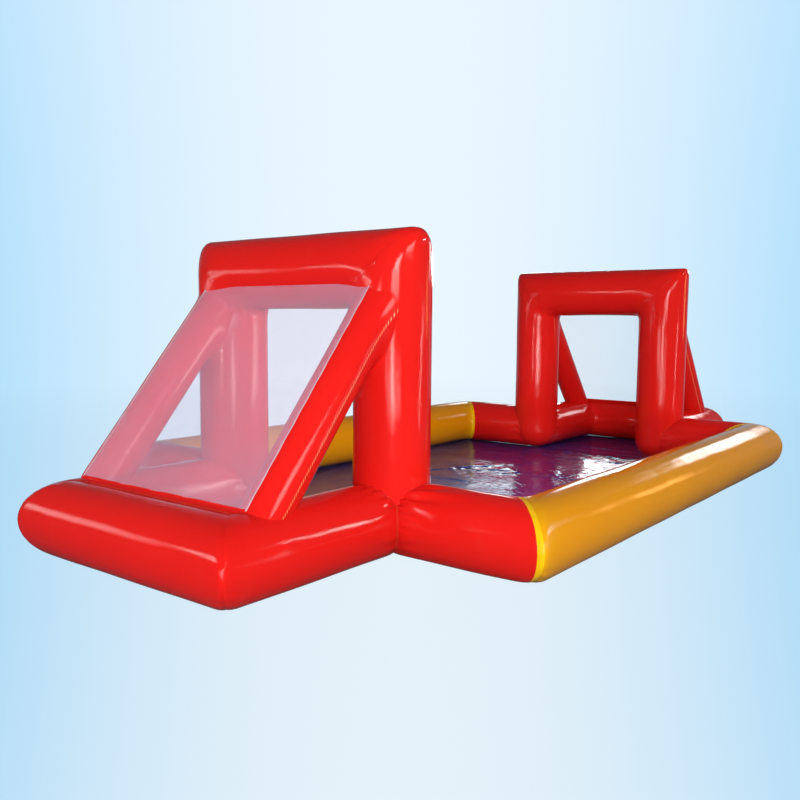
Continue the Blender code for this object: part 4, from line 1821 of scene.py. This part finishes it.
WHITE = (1.0, 1.0, 1.0)
WARM = (1.0, 0.97, 0.93)
COOL = (0.95, 0.97, 1.0)
AMBER = (1.0, 0.50, 0.15)


@dataclass(frozen=True)
class Lamp:
    """One area light, turned about its aim by the roll in degrees."""

    name: str
    place: Triple
    target: Triple
    size: tuple[float, float]
    radiance: float
    colour: Triple = WHITE
    roll: float = 0.0

    def build(self) -> None:
        """Adds the light."""
        data = bpy.data.lights.new(self.name, "AREA")
        data.shape = "RECTANGLE"
        data.size, data.size_y = self.size
        data.energy = self.radiance * math.pi * self.size[0] * self.size[1]
        data.color = self.colour
        lamp = bpy.data.objects.new(self.name, data)
        aim = (Vector(self.target) - Vector(self.place)).to_track_quat("-Z", "Y").to_matrix()
        lamp.visible_camera = False
        lamp.matrix_world = (Matrix.Translation(self.place) @ aim.to_4x4()
                             @ Matrix.Rotation(math.radians(self.roll), 4, "Z"))
        bpy.context.scene.collection.objects.link(lamp)


# Broad lamps near the camera, and panels and strips that show as highlights on the tubes
LAMPS = (
    Lamp("key", (-10.4, -9.2, 3.6), (-1.5, -0.6, 0.6), (3.4, 2.4), 26.0, WARM),
    Lamp("fill_inside", (-1.1, -1.15, 1.1), (-0.2, 1.9, 0.3), (1.8, 0.8), 7.5, WARM),
    Lamp("fill_right", (-3.5, -10.0, 4.2), (0.5, 1.0, 0.3), (3.5, 2.0), 11.0, WARM),
    Lamp("window_end", (9.0, -1.9, 3.15), (0.7, -1.77, 0.49), (2.2, 1.3), 7.0),
    Lamp("window_amber", (6.7, -4.9, 1.8), (2.4, -0.8, 1.7), (0.4, 1.0), 15.0, AMBER),
    Lamp("window_left", (9.6, 5.4, 3.2), (1.5, 0.0, 0.1), (1.4, 0.7), 9.0, COOL),
    Lamp("window_far", (11.5, 4.4, 2.8), (1.2, -0.2, 0.1), (2.6, 0.8), 22.0, COOL),
    Lamp("window_back", (-8.3, 8.0, 2.5), (-3.9, 0.2, 0.3), (2.6, 1.1), 4.5),
    Lamp("window_high", (-8.9, -5.5, 2.10), (-2.4, -0.76, 1.7), (0.34, 0.55), 45.0, WARM),
    Lamp("door_behind", (-7.9, -5.3, 0.80), (-1.0, 0.0, 0.8), (0.9, 1.5), 21.0, WARM),
    Lamp("door_low", (-8.6, -6.4, 0.32), (-1.5, -0.5, 0.3), (6.0, 0.5), 12.5, WARM),
    Lamp("door_goal", (-12.5, -0.8, 1.3), (2.1, 0.0, 1.0), (0.45, 2.3), 62.0, WARM),
    Lamp("side_strip", (2.5, -6.6, 0.85), (-3.1, -1.0, 0.4), (2.3, 0.09), 45.0, WARM, 46.0),
    Lamp("side_high", (4.8, -7.0, 4.0), (-2.8, -0.9, 0.4), (2.2, 0.20), 75.0, WARM),
    Lamp("end_strip", (-9.2, 4.3, 2.7), (-2.4, -1.2, 0.4), (2.2, 0.16), 60.0, WARM),
)


@dataclass(frozen=True)
class Studio:
    """The pale blue backdrop and floor, and the lamps."""

    right: Vector
    middle: Triple = (0.83, 0.93, 1.0)
    edge: Triple = (0.47, 0.76, 0.98)
    room: Triple = (0.88, 0.93, 1.0)
    ambient: float = 0.31

    def build(self) -> None:
        """Makes the world, the floor and the lamps."""
        self._world()
        self._ground()
        for lamp in LAMPS:
            lamp.build()
        bpy.context.scene.view_settings.view_transform = "Standard"

    def _sky(self, s: Shader, direction: Wire) -> Wire:
        """The backdrop's colour, pale in the middle and bluer towards both sides.

        Args:
            s: The shader.
            direction: The line of sight.

        Returns:
            The colour.
        """
        across = s.node("VectorMath", {0: direction, 1: tuple(self.right)}, "Value",
                        operation="DOT_PRODUCT")
        share = (abs(across) * 2.3).clamp()
        return s.coats(self.middle, (share * share, self.edge))

    def _world(self) -> None:
        """Makes the world: the backdrop where it is seen or mirrored, and elsewhere dim light."""
        world = bpy.data.worlds.new("backdrop")
        world.use_nodes = True
        bpy.context.scene.world = world
        s = Shader(world.node_tree)
        direction = s.node("TexCoord", output="Generated")
        ahead = s.node("VectorMath", {0: direction, 1: tuple(UP.cross(self.right))}, "Value",
                       operation="DOT_PRODUCT")
        up = s.part(direction, "Z")
        low_ahead = ((ahead - 0.55) * 4.0).clamp() * ((0.30 - up) * 6.0).clamp()
        seen, mirrored, through = (s.node("LightPath", output=f"Is {kind} Ray")
                                   for kind in ("Camera", "Glossy", "Transmission"))
        share = (seen + mirrored * low_ahead * 0.5 + through).clamp()
        shown = s.node("Background", {"Color": self._sky(s, direction), "Strength": 1.0})
        level = (1.0 - up.clamp() * 0.45) * (1.0 - mirrored * 0.5) * self.ambient
        dim = s.node("Background", {"Color": (*self.room, 1.0), "Strength": level})
        s.output(s.node("MixShader", {0: share, 1: dim, 2: shown}), "World")

    def _ground(self) -> None:
        """Makes the ground, which fades into the backdrop far from the pitch."""
        ground = primitive("ground", bpy.ops.mesh.primitive_circle_add, vertices=96, radius=26.0,
                           fill_type="NGON", location=(0, 0, -0.002))
        material, s = new_material("ground_look")
        place = s.place()
        away = s.node("VectorMath", {0: place}, "Value", operation="LENGTH")
        to_eye = s.node("VectorMath", {0: place, 1: Eye.place}, operation="SUBTRACT")
        colour = self._sky(s, s.node("VectorMath", {0: to_eye}, operation="NORMALIZE"))
        lit = s.node("BsdfDiffuse", {"Color": s.coats(colour, (0.75, (0, 0, 0)))})
        glow = s.node("Emission", {"Color": colour, "Strength": 1.0})
        seen = s.node("LightPath", output="Is Camera Ray")
        x, y = (abs(s.part(place, letter)) for letter in "XY")
        under_ring = (x < SIZES.end_x) * (y < SIZES.side_y)
        under_goal = (x < SIZES.back_x) * (y < SIZES.goal_y)
        open_ground = 1.0 - (under_ring + under_goal).clamp()
        body = s.node("MixShader", {0: seen * open_ground * 0.94, 1: lit, 2: glow})
        fade = ((away - 5.0) / 9.0).clamp()
        s.output(s.node("MixShader", {0: fade, 1: body, 2: s.node("BsdfTransparent")}))
        ground.data.materials.append(material)


def main() -> None:
    """Builds the camera, the pitch and the studio."""
    logging.basicConfig(level=logging.INFO, format="%(name)s: %(message)s")
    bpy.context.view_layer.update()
    right = Eye().build()
    wardrobe = Wardrobe()
    Ring(wardrobe).build()
    for end in End:
        Goal(end, wardrobe).build()
    FloorSheet(wardrobe).build()
    for label in ("ring", "goal_near", "goal_far"):
        Valve(label, wardrobe).build()
    Studio(right).build()


if __name__ == "__main__":
    main()
